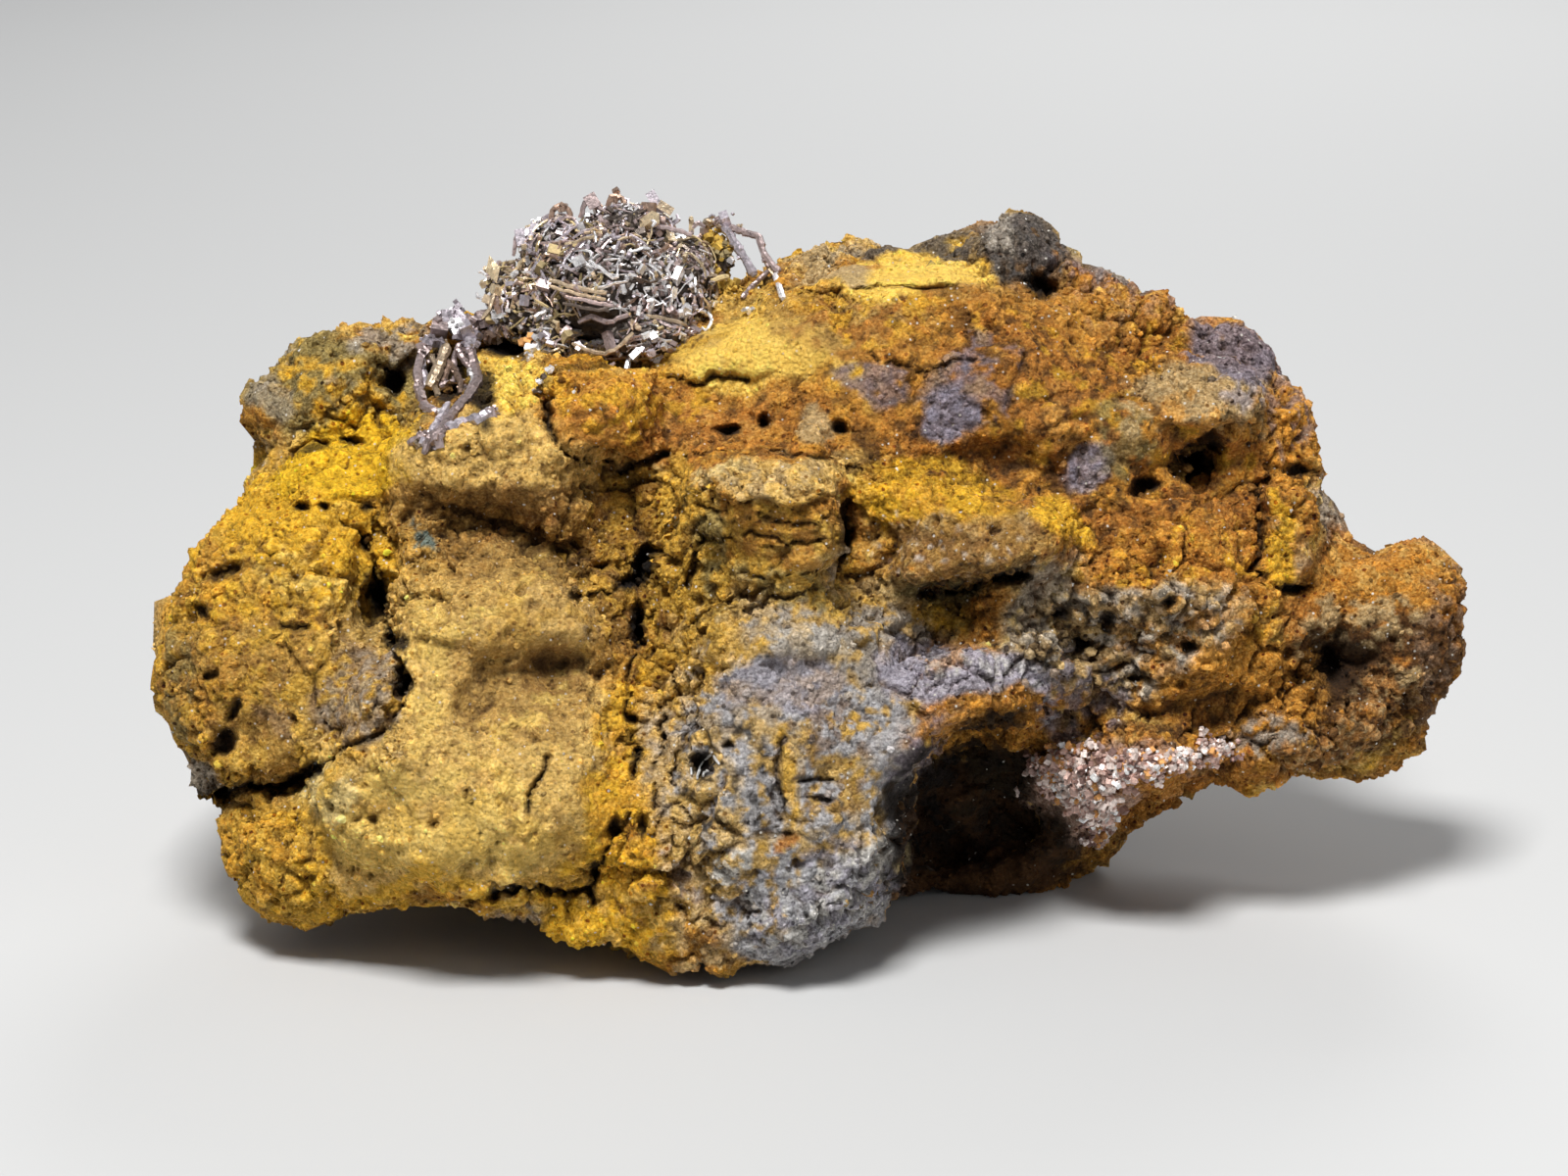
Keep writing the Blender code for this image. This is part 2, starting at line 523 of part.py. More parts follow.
def crystal(middle, direction, length, width, sides):
    """A slightly tapered prism along the direction, its middle and sizes in metres."""
    shape = bmesh.new()
    bmesh.ops.create_cone(
        shape, cap_ends=True, segments=sides, radius1=width / 2, radius2=0.35 * width, depth=length
    )
    mesh = bpy.data.meshes.new("crystal")
    shape.to_mesh(mesh)
    shape.free()
    turn = Vector((0, 0, 1)).rotation_difference(direction).to_matrix().to_4x4()
    turn.translation = middle
    mesh.transform(turn)
    return mesh


def any_direction(chance):
    return Vector([chance.gauss(0, 1) for _ in range(3)]).normalized()


def tube(half_width, places):
    """A bent wire with closed ends through these world places."""
    curve = bpy.data.curves.new("wire", "CURVE")
    curve.dimensions = "3D"
    curve.bevel_depth = half_width * MM
    curve.bevel_resolution = 1
    curve.use_fill_caps = True
    spline = curve.splines.new("POLY")
    spline.points.add(len(places) - 1)
    for point, where in zip(spline.points, places):
        point.co = (*where, 1)
    thing = bpy.data.objects.new("wire", curve)
    bpy.context.scene.collection.objects.link(thing)
    bpy.context.view_layer.update()
    evaluated = thing.evaluated_get(bpy.context.evaluated_depsgraph_get())
    mesh = bpy.data.meshes.new_from_object(evaluated)
    bpy.data.objects.remove(thing)
    shape = bmesh.new()
    shape.from_mesh(mesh)
    bmesh.ops.remove_doubles(shape, verts=shape.verts, dist=1e-6)
    bmesh.ops.recalc_face_normals(shape, faces=shape.faces)
    shape.to_mesh(mesh)
    shape.free()
    return mesh


def wire(half_width, line, tree):
    """A wire along this line, lifted where it would sink into the stone."""
    places = []
    for across, up, near in line:
        near = max(near, surface_near(tree, across, up) + half_width + GAP / 2)
        places.append(place(across, up, near))
    return tube(half_width, places)


def wires(shapes, tree):
    return [wire(half_width, line, tree) for half_width, line in shapes.values()]


def largest_piece(thing):
    """Drops the chips that a cut left beside the main piece."""
    shape = bmesh.new()
    shape.from_mesh(thing.data)
    left = set(shape.faces)
    pieces = []
    while left:
        piece = [left.pop()]
        for face in piece:
            beside = {other for edge in face.edges for other in edge.link_faces} & left
            left -= beside
            piece += beside
        pieces.append(piece)
    pieces.sort(key=len)
    for piece in pieces[:-1]:
        bmesh.ops.delete(shape, geom=piece, context="FACES")
    shape.to_mesh(thing.data)
    shape.free()


def grown(thing, gap, voxel, cutters):
    """A cutter that stands off the thing's surface by the gap all round."""
    copy = bpy.data.objects.new(thing.name + "_with_gap", thing.data.copy())
    cutters.objects.link(copy)
    points, normals = points_of(copy.data), normals_of(copy.data)
    set_points(copy.data, points + normals * gap * MM)
    remeshed(copy, voxel)
    copy.hide_render = True
    copy.display_type = "WIRE"
    return copy


def copper(name, meshes, triangles, neighbours, parts):
    """One body of all the meshes, cut clear of the neighbours and thinned out."""
    piece = joined(name, meshes)
    parts.objects.link(piece)
    remeshed(piece, COPPER_VOXEL)
    for neighbour in neighbours:
        cut = piece.modifiers.new("clear of " + neighbour.name, "BOOLEAN")
        cut.operation = "DIFFERENCE"
        cut.object = neighbour
    remeshed(piece, COPPER_VOXEL)
    largest_piece(piece)
    return thin_out(piece, triangles)


def nest_wire(chance, spots):
    """A wire that rises from the dome at one spot, bends, and goes down again at another."""
    start, outward = chance.choice(spots)
    end, end_outward = min(
        chance.sample(spots, NEST_WIRE_CHOICES),
        key=lambda spot: abs((spot[0] - start).length - NEST_WIRE_SPAN * MM),
    )
    rise = chance.uniform(*NEST_WIRE_RISE) * MM
    middle = (start + end + (outward + end_outward) * rise + any_direction(chance) * rise) / 2
    places = [start, start + outward * rise, middle, end + end_outward * rise, end]
    return tube(chance.uniform(*NEST_WIRE), places)


def nest_meshes():
    chance = random.Random(21)
    lumps = [lump(*shape) for shape in NEST_LUMPS.values()]
    spots = [
        (vertex.co.copy(), vertex.normal.copy())
        for mesh in lumps
        for vertex in chance.sample(list(mesh.vertices), NEST_CRYSTALS)
    ]
    meshes = lumps
    for start, outward in chance.sample(spots, NEST_CRYSTALS):
        direction = (outward + NEST_LEAN * any_direction(chance)).normalized()
        length = chance.uniform(*NEST_CRYSTAL_LENGTH) * MM
        middle = start + length / 3 * direction
        meshes.append(crystal(middle, direction, length, NEST_CRYSTAL_WIDTH * MM, 4))
    return meshes + [nest_wire(chance, spots) for _ in range(NEST_WIRES)]


def along(line, step):
    """Points about a step apart along the line."""
    for (x0, y0), (x1, y1) in zip(line, line[1:]):
        number = max(1, round(math.hypot(x1 - x0, y1 - y0) / step))
        for i in range(number):
            yield x0 + (x1 - x0) * i / number, y0 + (y1 - y0) * i / number


def crust_meshes(tree):
    chance = random.Random(5)
    outward = Vector((0, -math.cos(VIEW_ELEVATION), math.sin(VIEW_ELEVATION)))
    meshes = []
    for line in (CRUST_LINE, CRUST_HANGING):
        for across, up in along(line, CRUST_STEP):
            for spread in (0, CRUST_SPREAD, CRUST_SPREAD):
                where = surface_under(
                    tree,
                    across + chance.uniform(-spread, spread),
                    up + chance.uniform(-spread, spread),
                )
                if where is None:
                    continue
                size = chance.uniform(*CRUST_CRYSTAL) * MM
                middle = where + outward * CRUST_HEIGHT * MM
                meshes.append(crystal(middle, any_direction(chance), 2 * size, 2 * size, 5))
    return meshes


def painted(thing):
    colour, metallic, roughness = COLOURS[thing.name]
    material = bpy.data.materials.new(thing.name)
    material.use_nodes = True
    shader = material.node_tree.nodes["Principled BSDF"]
    shader.inputs["Base Color"].default_value = (*colour, 1)
    shader.inputs["Metallic"].default_value = metallic
    shader.inputs["Roughness"].default_value = roughness
    thing.data.materials.clear()
    thing.data.materials.append(material)


def collection(name):
    made = bpy.data.collections.new(name)
    bpy.context.scene.collection.children.link(made)
    return made


def main():
    for thing in list(bpy.data.objects):
        bpy.data.objects.remove(thing)
    parts = collection("native_copper_specimen")
    cutters = collection("cutters")
    stone = limonite_matrix(parts, cutters)
    tree = tree_of(stone)
    beside = [grown(stone, GAP + GAP_SPARE, VOXEL, cutters)]
    crust = copper("copper_crystal_crust", crust_meshes(tree), CRUST_TRIANGLES, beside, parts)
    loops = copper("copper_wire_loops", wires(LOOP_WIRES, tree), LOOP_TRIANGLES, beside, parts)
    sprig = copper("copper_wire_sprig", wires(SPRIG_WIRES, tree), SPRIG_TRIANGLES, beside, parts)
    beside += [grown(thing, GAP + GAP_SPARE, COPPER_VOXEL, cutters) for thing in (loops, sprig)]
    nest = copper("copper_wire_nest", nest_meshes(), NEST_TRIANGLES, beside, parts)
    for thing in (stone, crust, loops, sprig, nest):
        painted(thing)


main()
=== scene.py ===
"""Looks of the native copper specimen: a lump of limonite with tangles of wire copper.

The rock is remade from its solid as a fine mesh with crumbs, cracks and pits, and loose grains
are set into it. The copper is bent wires and small crystals. Places on the front are given in
pixels of the photograph, as (x, y) from its upper left corner, with 25 pixels to a millimetre.
"""

import math

import bpy
import numpy as np
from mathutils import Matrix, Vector, noise
from mathutils.bvhtree import BVHTree


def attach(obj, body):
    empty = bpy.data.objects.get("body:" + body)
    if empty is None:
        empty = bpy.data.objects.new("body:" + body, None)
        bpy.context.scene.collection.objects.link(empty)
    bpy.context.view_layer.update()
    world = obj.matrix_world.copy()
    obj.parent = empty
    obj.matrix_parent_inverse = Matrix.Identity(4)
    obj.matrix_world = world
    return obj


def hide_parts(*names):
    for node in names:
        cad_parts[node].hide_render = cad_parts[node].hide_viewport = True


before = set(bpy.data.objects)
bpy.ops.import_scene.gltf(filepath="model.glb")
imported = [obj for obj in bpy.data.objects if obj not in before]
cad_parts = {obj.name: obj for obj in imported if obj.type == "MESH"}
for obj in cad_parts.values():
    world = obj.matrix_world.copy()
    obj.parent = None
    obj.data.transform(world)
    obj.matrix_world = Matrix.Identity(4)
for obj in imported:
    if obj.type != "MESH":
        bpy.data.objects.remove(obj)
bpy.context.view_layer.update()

MM = 0.001
# Keeps a length of 0 from being divided by
TINY = 1e-12
# Seed of everything drawn at random, what a noise seed moves the noise by in its waves, and the
# numbers that make a clod's place into its random number
RANDOM_SEED = 7
SEED_SHIFT = (7.3, 3.1, 1.7)
HASH_WEIGHTS = (12.99, 78.23, 37.72)
HASH_SCALE = 4375.85

# How the picture plane through the stone lies in the world, as in the part's source
PIXELS_PER_MM = 25.0
PLANE_PIXEL = (830.0, 1005.0)
VIEW_DISTANCE = 180.0
VIEW_ELEVATION = math.radians(16)
SIGHT_ACROSS = -1.2
SIGHT_UP = 16.2
TIP_NEAR = 5.0
BOX_MIDDLE_X = 0.45
BOX_MIDDLE_Y = 9.45
TOWARD_CAMERA = np.array([0.0, -math.cos(VIEW_ELEVATION), math.sin(VIEW_ELEVATION)])

# How squarely a surface faces the camera where the front begins and where it is full, for its
# form, and for its colours, which reach further round the edge
FRONT = (0.0, 0.3)
PAINTED_FRONT = (-0.35, 0.05)

# The photograph is 1600 by 1200 pixels, so 64 mm of the picture plane fill the sensor's width
SENSOR_WIDTH = 36.0
PICTURE_WIDTH = 64.0

# Colours of the minerals, as linear light
PIGMENTS = {
    "yellow": (0.80, 0.46, 0.036),
    "bright yellow": (0.94, 0.61, 0.12),
    "pale yellow": (0.92, 0.64, 0.17),
    "canary": (0.84, 0.51, 0.025),
    "ochre": (0.64, 0.38, 0.056),
    "brown ochre": (0.47, 0.275, 0.075),
    "tan": (0.73, 0.48, 0.15),
    "cream": (0.78, 0.60, 0.26),
    "orange": (0.60, 0.285, 0.045),
    "rust": (0.44, 0.185, 0.034),
    "brown": (0.25, 0.125, 0.035),
    "dark brown": (0.09, 0.04, 0.012),
    "black": (0.014, 0.009, 0.006),
    "olive": (0.28, 0.22, 0.085),
    "olive dark": (0.12, 0.095, 0.035),
    "grey tan": (0.52, 0.37, 0.18),
    "grey": (0.38, 0.33, 0.27),
    "blue grey": (0.44, 0.43, 0.435),
    "pale grey": (0.58, 0.55, 0.50),
    "dark grey": (0.10, 0.09, 0.085),
    "lilac": (0.39, 0.36, 0.41),
    "dim lilac": (0.27, 0.25, 0.305),
    "purple grey": (0.225, 0.19, 0.22),
    "mauve": (0.27, 0.175, 0.11),
    "pink tan": (0.50, 0.34, 0.26),
    "teal": (0.16, 0.22, 0.20),
    "white": (0.85, 0.83, 0.78),
}

# Patches of colour on the front, painted in this order: middle, half sizes, turn in degrees,
# pigment, strength, and for a patch of specks the size of these in mm and the share they cover
PATCHES = {
    "left": ((290, 670), (170, 220), 0, "ochre", 0.9),
    "left, yellow": ((280, 640), (150, 150), 0, "yellow", 0.75, 1.4, 0.45),
    "left, lower": ((250, 730), (110, 110), 0, "brown ochre", 0.8, 1.4, 0.55),
    "left, orange": ((215, 650), (60, 150), 0, "orange", 0.5, 1.0, 0.45),
    "left, bright": ((315, 560), (90, 50), -10, "yellow", 0.8, 1.6, 0.7),
    "left, cream": ((320, 600), (60, 26), -20, "pale yellow", 0.6, 0.8, 0.5),
    "left, brown specks": ((280, 680), (140, 140), 0, "brown", 0.7, 0.5, 0.16),
    "left, mauve below": ((330, 740), (50, 26), 0, "mauve", 0.6, 0.7, 0.6),
    "left, brown band": ((350, 650), (60, 16), -10, "brown", 0.5, 0.6, 0.55),
    "grey knob": ((203, 797), (18, 16), 0, "grey", 0.9),
    "left flank's shade": ((185, 700), (18, 70), 0, "olive", 0.7, 1.0, 0.6),
    "upper left": ((335, 400), (110, 75), -20, "olive", 0.85),
    "upper left, yellow": ((345, 405), (85, 45), -20, "ochre", 0.9, 0.7, 0.6),
    "upper left, bright": ((355, 410), (70, 34), -20, "yellow", 0.8, 0.7, 0.3),
    "upper left, grey": ((300, 385), (70, 34), -25, "grey", 0.6, 1.2, 0.3),
    "upper left, tip": ((266, 412), (20, 24), 0, "grey", 0.5),
    "knob by the loops": ((412, 352), (36, 30), -20, "grey", 0.75, 1.4, 0.6),
    "yellow slope": ((365, 475), (95, 42), 8, "canary", 0.95),
    "yellow slope, left": ((280, 525), (60, 34), 10, "yellow", 0.9),
    "crest": ((535, 470), (115, 58), -8, "tan", 0.85),
    "crest, tan": ((510, 458), (100, 38), 12, "tan", 0.85, 0.9, 0.75),
    "crest, brown": ((560, 476), (76, 44), 0, "brown", 0.5, 0.5, 0.2),
    # Painted shade: the next three patches darken the hollow in the shadow under the crest
    "hollow under the crest": ((520, 545), (110, 46), -14, "brown", 0.75),
    "hollow's end": ((560, 572), (50, 22), -14, "dark brown", 0.4, 0.7, 0.6),
    "hollow's left": ((440, 545), (50, 50), 0, "brown ochre", 0.7),
    "blue speck": ((425, 547), (9, 8), 0, "teal", 0.9),
    "slab": ((485, 720), (165, 160), 0, "tan", 0.92),
    "slab, ochre": ((560, 640), (80, 60), 0, "ochre", 0.6, 1.4, 0.55),
    "slab, upper": ((500, 620), (110, 60), 0, "brown ochre", 0.4),
    "slab, light left edge": ((430, 690), (40, 100), -12, "pale yellow", 0.45, 1.6, 0.6),
    # Painted shade: the next two patches darken the dimple in the slab, under its upper edge
    "slab, dimple": ((545, 706), (72, 56), -10, "brown ochre", 0.6),
    "slab, dimple's end": ((566, 684), (40, 26), -6, "brown", 0.55),
    "slab, streak": ((470, 640), (120, 14), 35, "pale yellow", 0.5, 0.7, 0.5),
    "slab, second streak": ((480, 770), (150, 18), 38, "pale yellow", 0.6, 0.7, 0.5),
    "slab, dark specks": ((490, 740), (150, 170), 0, "brown", 0.6, 0.25, 0.12),
    "slab, lower": ((450, 850), (160, 75), 0, "tan", 0.9),
    "slab, lower orange": ((470, 850), (160, 70), 0, "orange", 0.2, 1.6, 0.5),
    "slab, lower light": ((430, 835), (140, 62), -12, "pale yellow", 0.65, 1.2, 0.8),
    "slab, lower yellow": ((480, 860), (170, 56), 0, "ochre", 0.4, 1.0, 0.5),
    "slab, cream corner": ((336, 808), (18, 28), 0, "cream", 0.8),
    "slab, foot": ((430, 915), (150, 20), -2, "yellow", 0.7, 1.0, 0.6),
    "left, mauve": ((374, 704), (46, 50), -15, "mauve", 0.75),
    "left, mauve's ochre": ((366, 704), (56, 58), -15, "ochre", 0.8, 0.7, 0.42),
    "left, grey specks": ((384, 712), (42, 44), -15, "grey", 0.6, 0.5, 0.4),
    "wedge": ((285, 875), (62, 62), 0, "ochre", 0.95),
    "wedge, yellow": ((290, 880), (56, 56), 0, "yellow", 0.7, 0.9, 0.35),
    "wedge, orange": ((265, 880), (45, 50), 0, "orange", 0.5, 0.9, 0.45),
    "fissure": ((645, 590), (46, 120), 4, "brown", 0.7),
    "fissure, ochre": ((640, 560), (50, 90), 0, "ochre", 0.6, 0.8, 0.5),
    "rubble": ((655, 830), (46, 165), 0, "yellow", 0.85, 1.0, 0.8),
    "rubble, orange": ((640, 800), (46, 150), 0, "orange", 0.4, 0.8, 0.35),
    "yellow tip": ((615, 955), (52, 42), 0, "yellow", 0.95),
    "foot of the rubble": ((650, 940), (50, 40), 0, "tan", 0.6, 1.0, 0.5),
    "brown slope": ((730, 430), (190, 60), -4, "orange", 0.9),
    "brown slope, rust": ((740, 440), (180, 52), -4, "rust", 0.8, 0.9, 0.6),
    "brown slope, dark": ((760, 440), (170, 50), -4, "dark brown", 0.7, 0.5, 0.2),
    "brown slope, yellow": ((640, 410), (80, 34), 0, "yellow", 0.6, 0.8, 0.45),
    "round bump": ((827, 437), (20, 19), 0, "grey tan", 0.85),
    "dark patch": ((872, 468), (20, 30), 0, "dark brown", 0.8),
    "arch cap": ((785, 492), (76, 22), 3, "tan", 0.9),
    "arch cap, grey": ((775, 490), (70, 20), 3, "grey tan", 0.8, 0.7, 0.5),
    "arch cap, cream": ((740, 486), (30, 12), 0, "cream", 0.6, 0.6, 0.6),
    "arch face": ((792, 552), (66, 38), 0, "ochre", 0.9),
    "arch face, brown": ((800, 548), (64, 36), 0, "brown", 0.6, 0.5, 0.5),
    "arch face, rust": ((790, 556), (66, 40), 0, "rust", 0.5, 0.9, 0.55),
    "below the arch": ((770, 608), (90, 28), 6, "ochre", 0.8),
    "below the arch, olive": ((790, 612), (90, 28), 6, "olive", 0.75, 0.6, 0.5),
    "rib": ((700, 545), (26, 90), 8, "ochre", 0.85),
    "rib, olive": ((722, 590), (18, 70), 4, "olive", 0.8),
    "rib, dark": ((705, 580), (12, 42), 6, "dark brown", 0.6),
    "block right of the arch": ((905, 608), (40, 26), 20, "grey tan", 0.7),
    "shelf": ((775, 355), (105, 34), 11, "bright yellow", 1.0),
    "shelf, left": ((525, 388), (50, 30), 0, "bright yellow", 0.95),
    "shelf, pale": ((760, 362), (70, 16), 8, "pale yellow", 0.4, 1.5, 0.5),
    "upper slope": ((960, 330), (170, 45), -2, "brown ochre", 0.9),
    "upper slope, rust": ((990, 340), (170, 42), -2, "rust", 0.8, 0.9, 0.6),
    "upper slope, dark": ((980, 345), (170, 42), -2, "dark brown", 0.65, 0.5, 0.16),
    "upper slope, yellow": ((900, 320), (90, 26), 0, "yellow", 0.6, 0.8, 0.45),
    "top band": ((925, 283), (90, 19), 3, "bright yellow", 1.0),
    "top band, grey": ((835, 272), (44, 14), 0, "grey tan", 0.9),
    "behind the band": ((945, 254), (60, 16), 0, "dark grey", 0.9),
    "behind the band, tan": ((950, 252), (46, 10), 0, "grey tan", 0.6, 0.8, 0.5),
    "peak": ((1045, 262), (50, 40), -35, "dark grey", 0.95),
    "peak, crown": ((1028, 240), (22, 12), 0, "grey", 0.9),
    "peak, brown": ((1060, 285), (42, 22), -30, "brown", 0.6, 0.7, 0.5),
    "right of the peak": ((1140, 300), (70, 26), -22, "purple grey", 0.6, 1.0, 0.5),
    "right": ((1110, 430), (240, 130), -10, "orange", 0.9),
    "right, rust": ((1120, 440), (230, 120), -10, "rust", 0.9, 1.2, 0.7),
    "right, dark": ((1100, 440), (230, 120), -10, "dark brown", 0.75, 0.5, 0.36),
    "right, yellow": ((1130, 400), (200, 90), -10, "yellow", 0.5, 0.9, 0.14),
    "lilac patch": ((968, 422), (30, 36), 20, "dim lilac", 0.9),
    "lilac, broken": ((985, 400), (56, 44), 0, "purple grey", 0.6, 0.9, 0.4),
    "second lilac patch": ((1105, 467), (25, 24), 0, "dim lilac", 0.85),
    "dim lilac": ((890, 388), (34, 22), 0, "purple grey", 0.65, 0.9, 0.6),
    "olive pale": ((1140, 446), (34, 40), 20, "olive", 0.7, 0.8, 0.75),
    "olive, cream": ((1165, 420), (34, 24), 0, "grey tan", 0.7, 0.8, 0.55),
    "ledge": ((1240, 405), (80, 38), -10, "grey tan", 0.85),
    "ledge, lilac": ((1275, 392), (46, 26), -10, "lilac", 0.6, 0.8, 0.5),
    "ledge, orange": ((1225, 430), (60, 22), -6, "orange", 0.7, 0.8, 0.5),
    "back ridge": ((1255, 362), (62, 24), -30, "purple grey", 0.9),
    "right bulge": ((1322, 450), (36, 60), 0, "orange", 0.9),
    "right bulge, purple": ((1322, 430), (26, 34), 0, "purple grey", 0.6, 0.7, 0.5),
    "mound": ((955, 522), (92, 46), -4, "yellow", 0.95),
    "mound, orange": ((960, 530), (90, 40), -4, "orange", 0.5, 0.8, 0.4),
    "mound, olive": ((985, 570), (88, 26), 8, "olive", 0.6, 0.9, 0.6),
    "mound, grey": ((1000, 552), (80, 34), 8, "brown ochre", 0.95),
    "mound, tan flecks": ((1000, 548), (80, 34), 8, "grey tan", 0.5, 0.7, 0.2),
    "mound, dark flecks": ((990, 562), (90, 30), 8, "brown", 0.8, 0.5, 0.55),
    "mound, brown": ((1000, 560), (84, 30), 8, "brown", 0.35),
    "mound, flecks": ((960, 555), (80, 34), 0, "white", 0.5, 0.25, 0.05),
    # Painted shadow: the shadow below the mound
    "mound, undercut": ((960, 597), (52, 12), 6, "olive dark", 0.85),
    "mound's end": ((1085, 528), (30, 22), 0, "yellow", 0.9),
    "right middle": ((1200, 580), (130, 52), 0, "orange", 0.9),
    "right middle, yellow": ((1190, 575), (120, 46), 0, "yellow", 0.55, 0.8, 0.3),
    "right middle, rust": ((1190, 575), (130, 50), 0, "rust", 0.7, 0.6, 0.4),
    "yellow strip": ((1306, 552), (13, 50), 8, "yellow", 0.85),
    "pitted zone": ((1150, 650), (125, 62), 6, "grey tan", 0.85),
    "pitted zone, dark": ((1120, 652), (130, 60), 6, "brown", 0.6, 0.5, 0.28),
    "pitted zone, tan": ((1150, 650), (125, 58), 6, "pale grey", 0.6, 0.7, 0.45),
    "pitted zone, black": ((1110, 650), (120, 50), 6, "black", 0.9, 0.5, 0.14),
    "pitted zone, orange": ((1215, 668), (90, 56), 0, "orange", 0.7, 0.9, 0.4),
    "pitted zone, lilac": ((1112, 708), (56, 36), -10, "purple grey", 0.7, 0.7, 0.6),
    "grey mass": ((812, 815), (142, 190), 10, "blue grey", 0.95),
    "grey mass, top": ((870, 655), (100, 40), 0, "grey", 0.9),
    "grey mass, top's ochre": ((850, 640), (110, 40), 0, "ochre", 0.7, 0.7, 0.4),
    "grey mass, ochre": ((790, 790), (130, 150), 10, "ochre", 0.8, 0.8, 0.36),
    "grey mass, tan": ((780, 760), (120, 160), 10, "grey tan", 0.6, 1.3, 0.4),
    "grey mass, dark": ((800, 820), (110, 110), 0, "dark grey", 0.7, 0.5, 0.12),
    "grey mass, brown": ((845, 775), (56, 60), 0, "brown", 0.5, 0.7, 0.4),
    "grey mass, left yellow": ((706, 650), (52, 80), 0, "ochre", 0.85, 1.0, 0.65),
    "grey mass, left tan": ((712, 850), (40, 110), 0, "tan", 0.75, 0.9, 0.55),
    "grey mass, black specks": ((742, 800), (50, 60), 0, "black", 0.8, 0.5, 0.22),
    "blue middle": ((800, 706), (66, 34), 0, "lilac", 0.65),
    "grey mass, rust edge": ((900, 740), (24, 80), -30, "ochre", 0.6, 0.8, 0.4),
    "lens": ((822, 656), (44, 16), 8, "pale grey", 0.4),
    "lens, edge": ((815, 668), (46, 8), 8, "grey", 0.6),
    "ridge": ((990, 688), (96, 34), -10, "lilac", 0.95),
    "ridge, orange": ((985, 660), (60, 14), 0, "orange", 0.6, 0.7, 0.4),
    "ridge, white": ((1010, 690), (70, 26), -12, "pale grey", 0.6, 0.5, 0.35),
    "blue white patch": ((742, 885), (20, 20), 0, "pale grey", 0.9),
    "grey foot": ((815, 930), (80, 55), 25, "blue grey", 0.8),
    # Painted shade: the wall beside the cave, which lies in shadow
    "cave's wall": ((934, 842), (30, 90), -35, "black", 0.95),
    "pale rim": ((884, 868), (10, 50), -38, "pale grey", 0.8),
    "pale rim, tan": ((905, 872), (8, 12), 0, "cream", 0.8),
    "cave's purple": ((955, 765), (44, 26), 45, "purple grey", 0.85, 0.7, 0.55),
    "grey foot, pale": ((830, 925), (70, 40), 25, "pale grey", 0.8, 0.8, 0.6),
    "grey foot, lilac": ((830, 915), (80, 50), 25, "lilac", 0.7, 0.7, 0.4),
    "grey foot, ochre": ((770, 905), (80, 56), 20, "ochre", 0.75, 0.5, 0.3),
    "grey foot, dark": ((800, 930), (90, 60), 20, "dark grey", 0.7, 0.5, 0.12),
    "grey foot, tan": ((700, 960), (46, 36), 0, "grey tan", 0.7, 0.8, 0.5),
    "crack filling": ((797, 795), (6, 48), 2, "ochre", 0.8),
    "brown dot": ((797, 848), (10, 9), 0, "rust", 0.9),
    "roof": ((1015, 738), (62, 28), 12, "orange", 0.9),
    "roof, orange": ((1030, 735), (40, 18), 0, "rust", 0.6, 0.6, 0.4),
    # Painted shade: the next three patches darken the cave under the overhang, which lies in shadow
    "cave": ((1005, 835), (120, 88), 20, "black", 0.97),
    "cave's floor": ((1010, 893), (112, 26), 10, "dark brown", 0.9),
    "cave, brown": ((1010, 850), (110, 60), 15, "dark brown", 0.6, 0.9, 0.4),
    "below the crust": ((1190, 800), (110, 40), 12, "rust", 0.7),
    "under the crust": ((1105, 802), (52, 44), 20, "pink tan", 0.85),
    "under the crust, right": ((1190, 780), (66, 16), 12, "pink tan", 0.7),
    "lower right": ((1290, 720), (110, 70), 10, "orange", 0.85),
    "lower right, rust": ((1250, 745), (130, 50), 10, "rust", 0.75, 0.9, 0.5),
    "lower right, dark": ((1240, 735), (130, 44), 8, "dark brown", 0.7, 0.7, 0.36),
    "wing": ((1410, 640), (105, 105), 10, "rust", 0.9),
    "wing, top": ((1410, 590), (80, 34), 4, "orange", 0.75),
    "wing, edge": ((1410, 578), (76, 24), 4, "tan", 0.5, 0.9, 0.4),
    "wing, shade": ((1390, 700), (120, 74), 20, "dark brown", 0.9, 0.9, 0.8),
    "orange face": ((1308, 698), (34, 44), -20, "orange", 0.85),
    "wing, grey": ((1390, 638), (64, 32), 10, "grey tan", 0.8, 0.7, 0.5),
    # Painted shade: the hollow in the wing
    "wing, dark": ((1362, 678), (26, 34), 0, "dark brown", 0.85),
    "wing, lilac": ((1288, 742), (34, 23), 0, "grey", 0.8, 0.6, 0.75),
    "wing, knob": ((1420, 700), (18, 15), 0, "grey tan", 0.9),
    "wing, foot": ((1380, 738), (80, 34), 30, "grey tan", 0.75, 0.6, 0.6),
    "wing, foot rust": ((1370, 745), (80, 36), 30, "rust", 0.7, 0.6, 0.4),
    "wing, rim": ((1465, 670), (34, 90), -10, "mauve", 0.7, 0.7, 0.5),
}
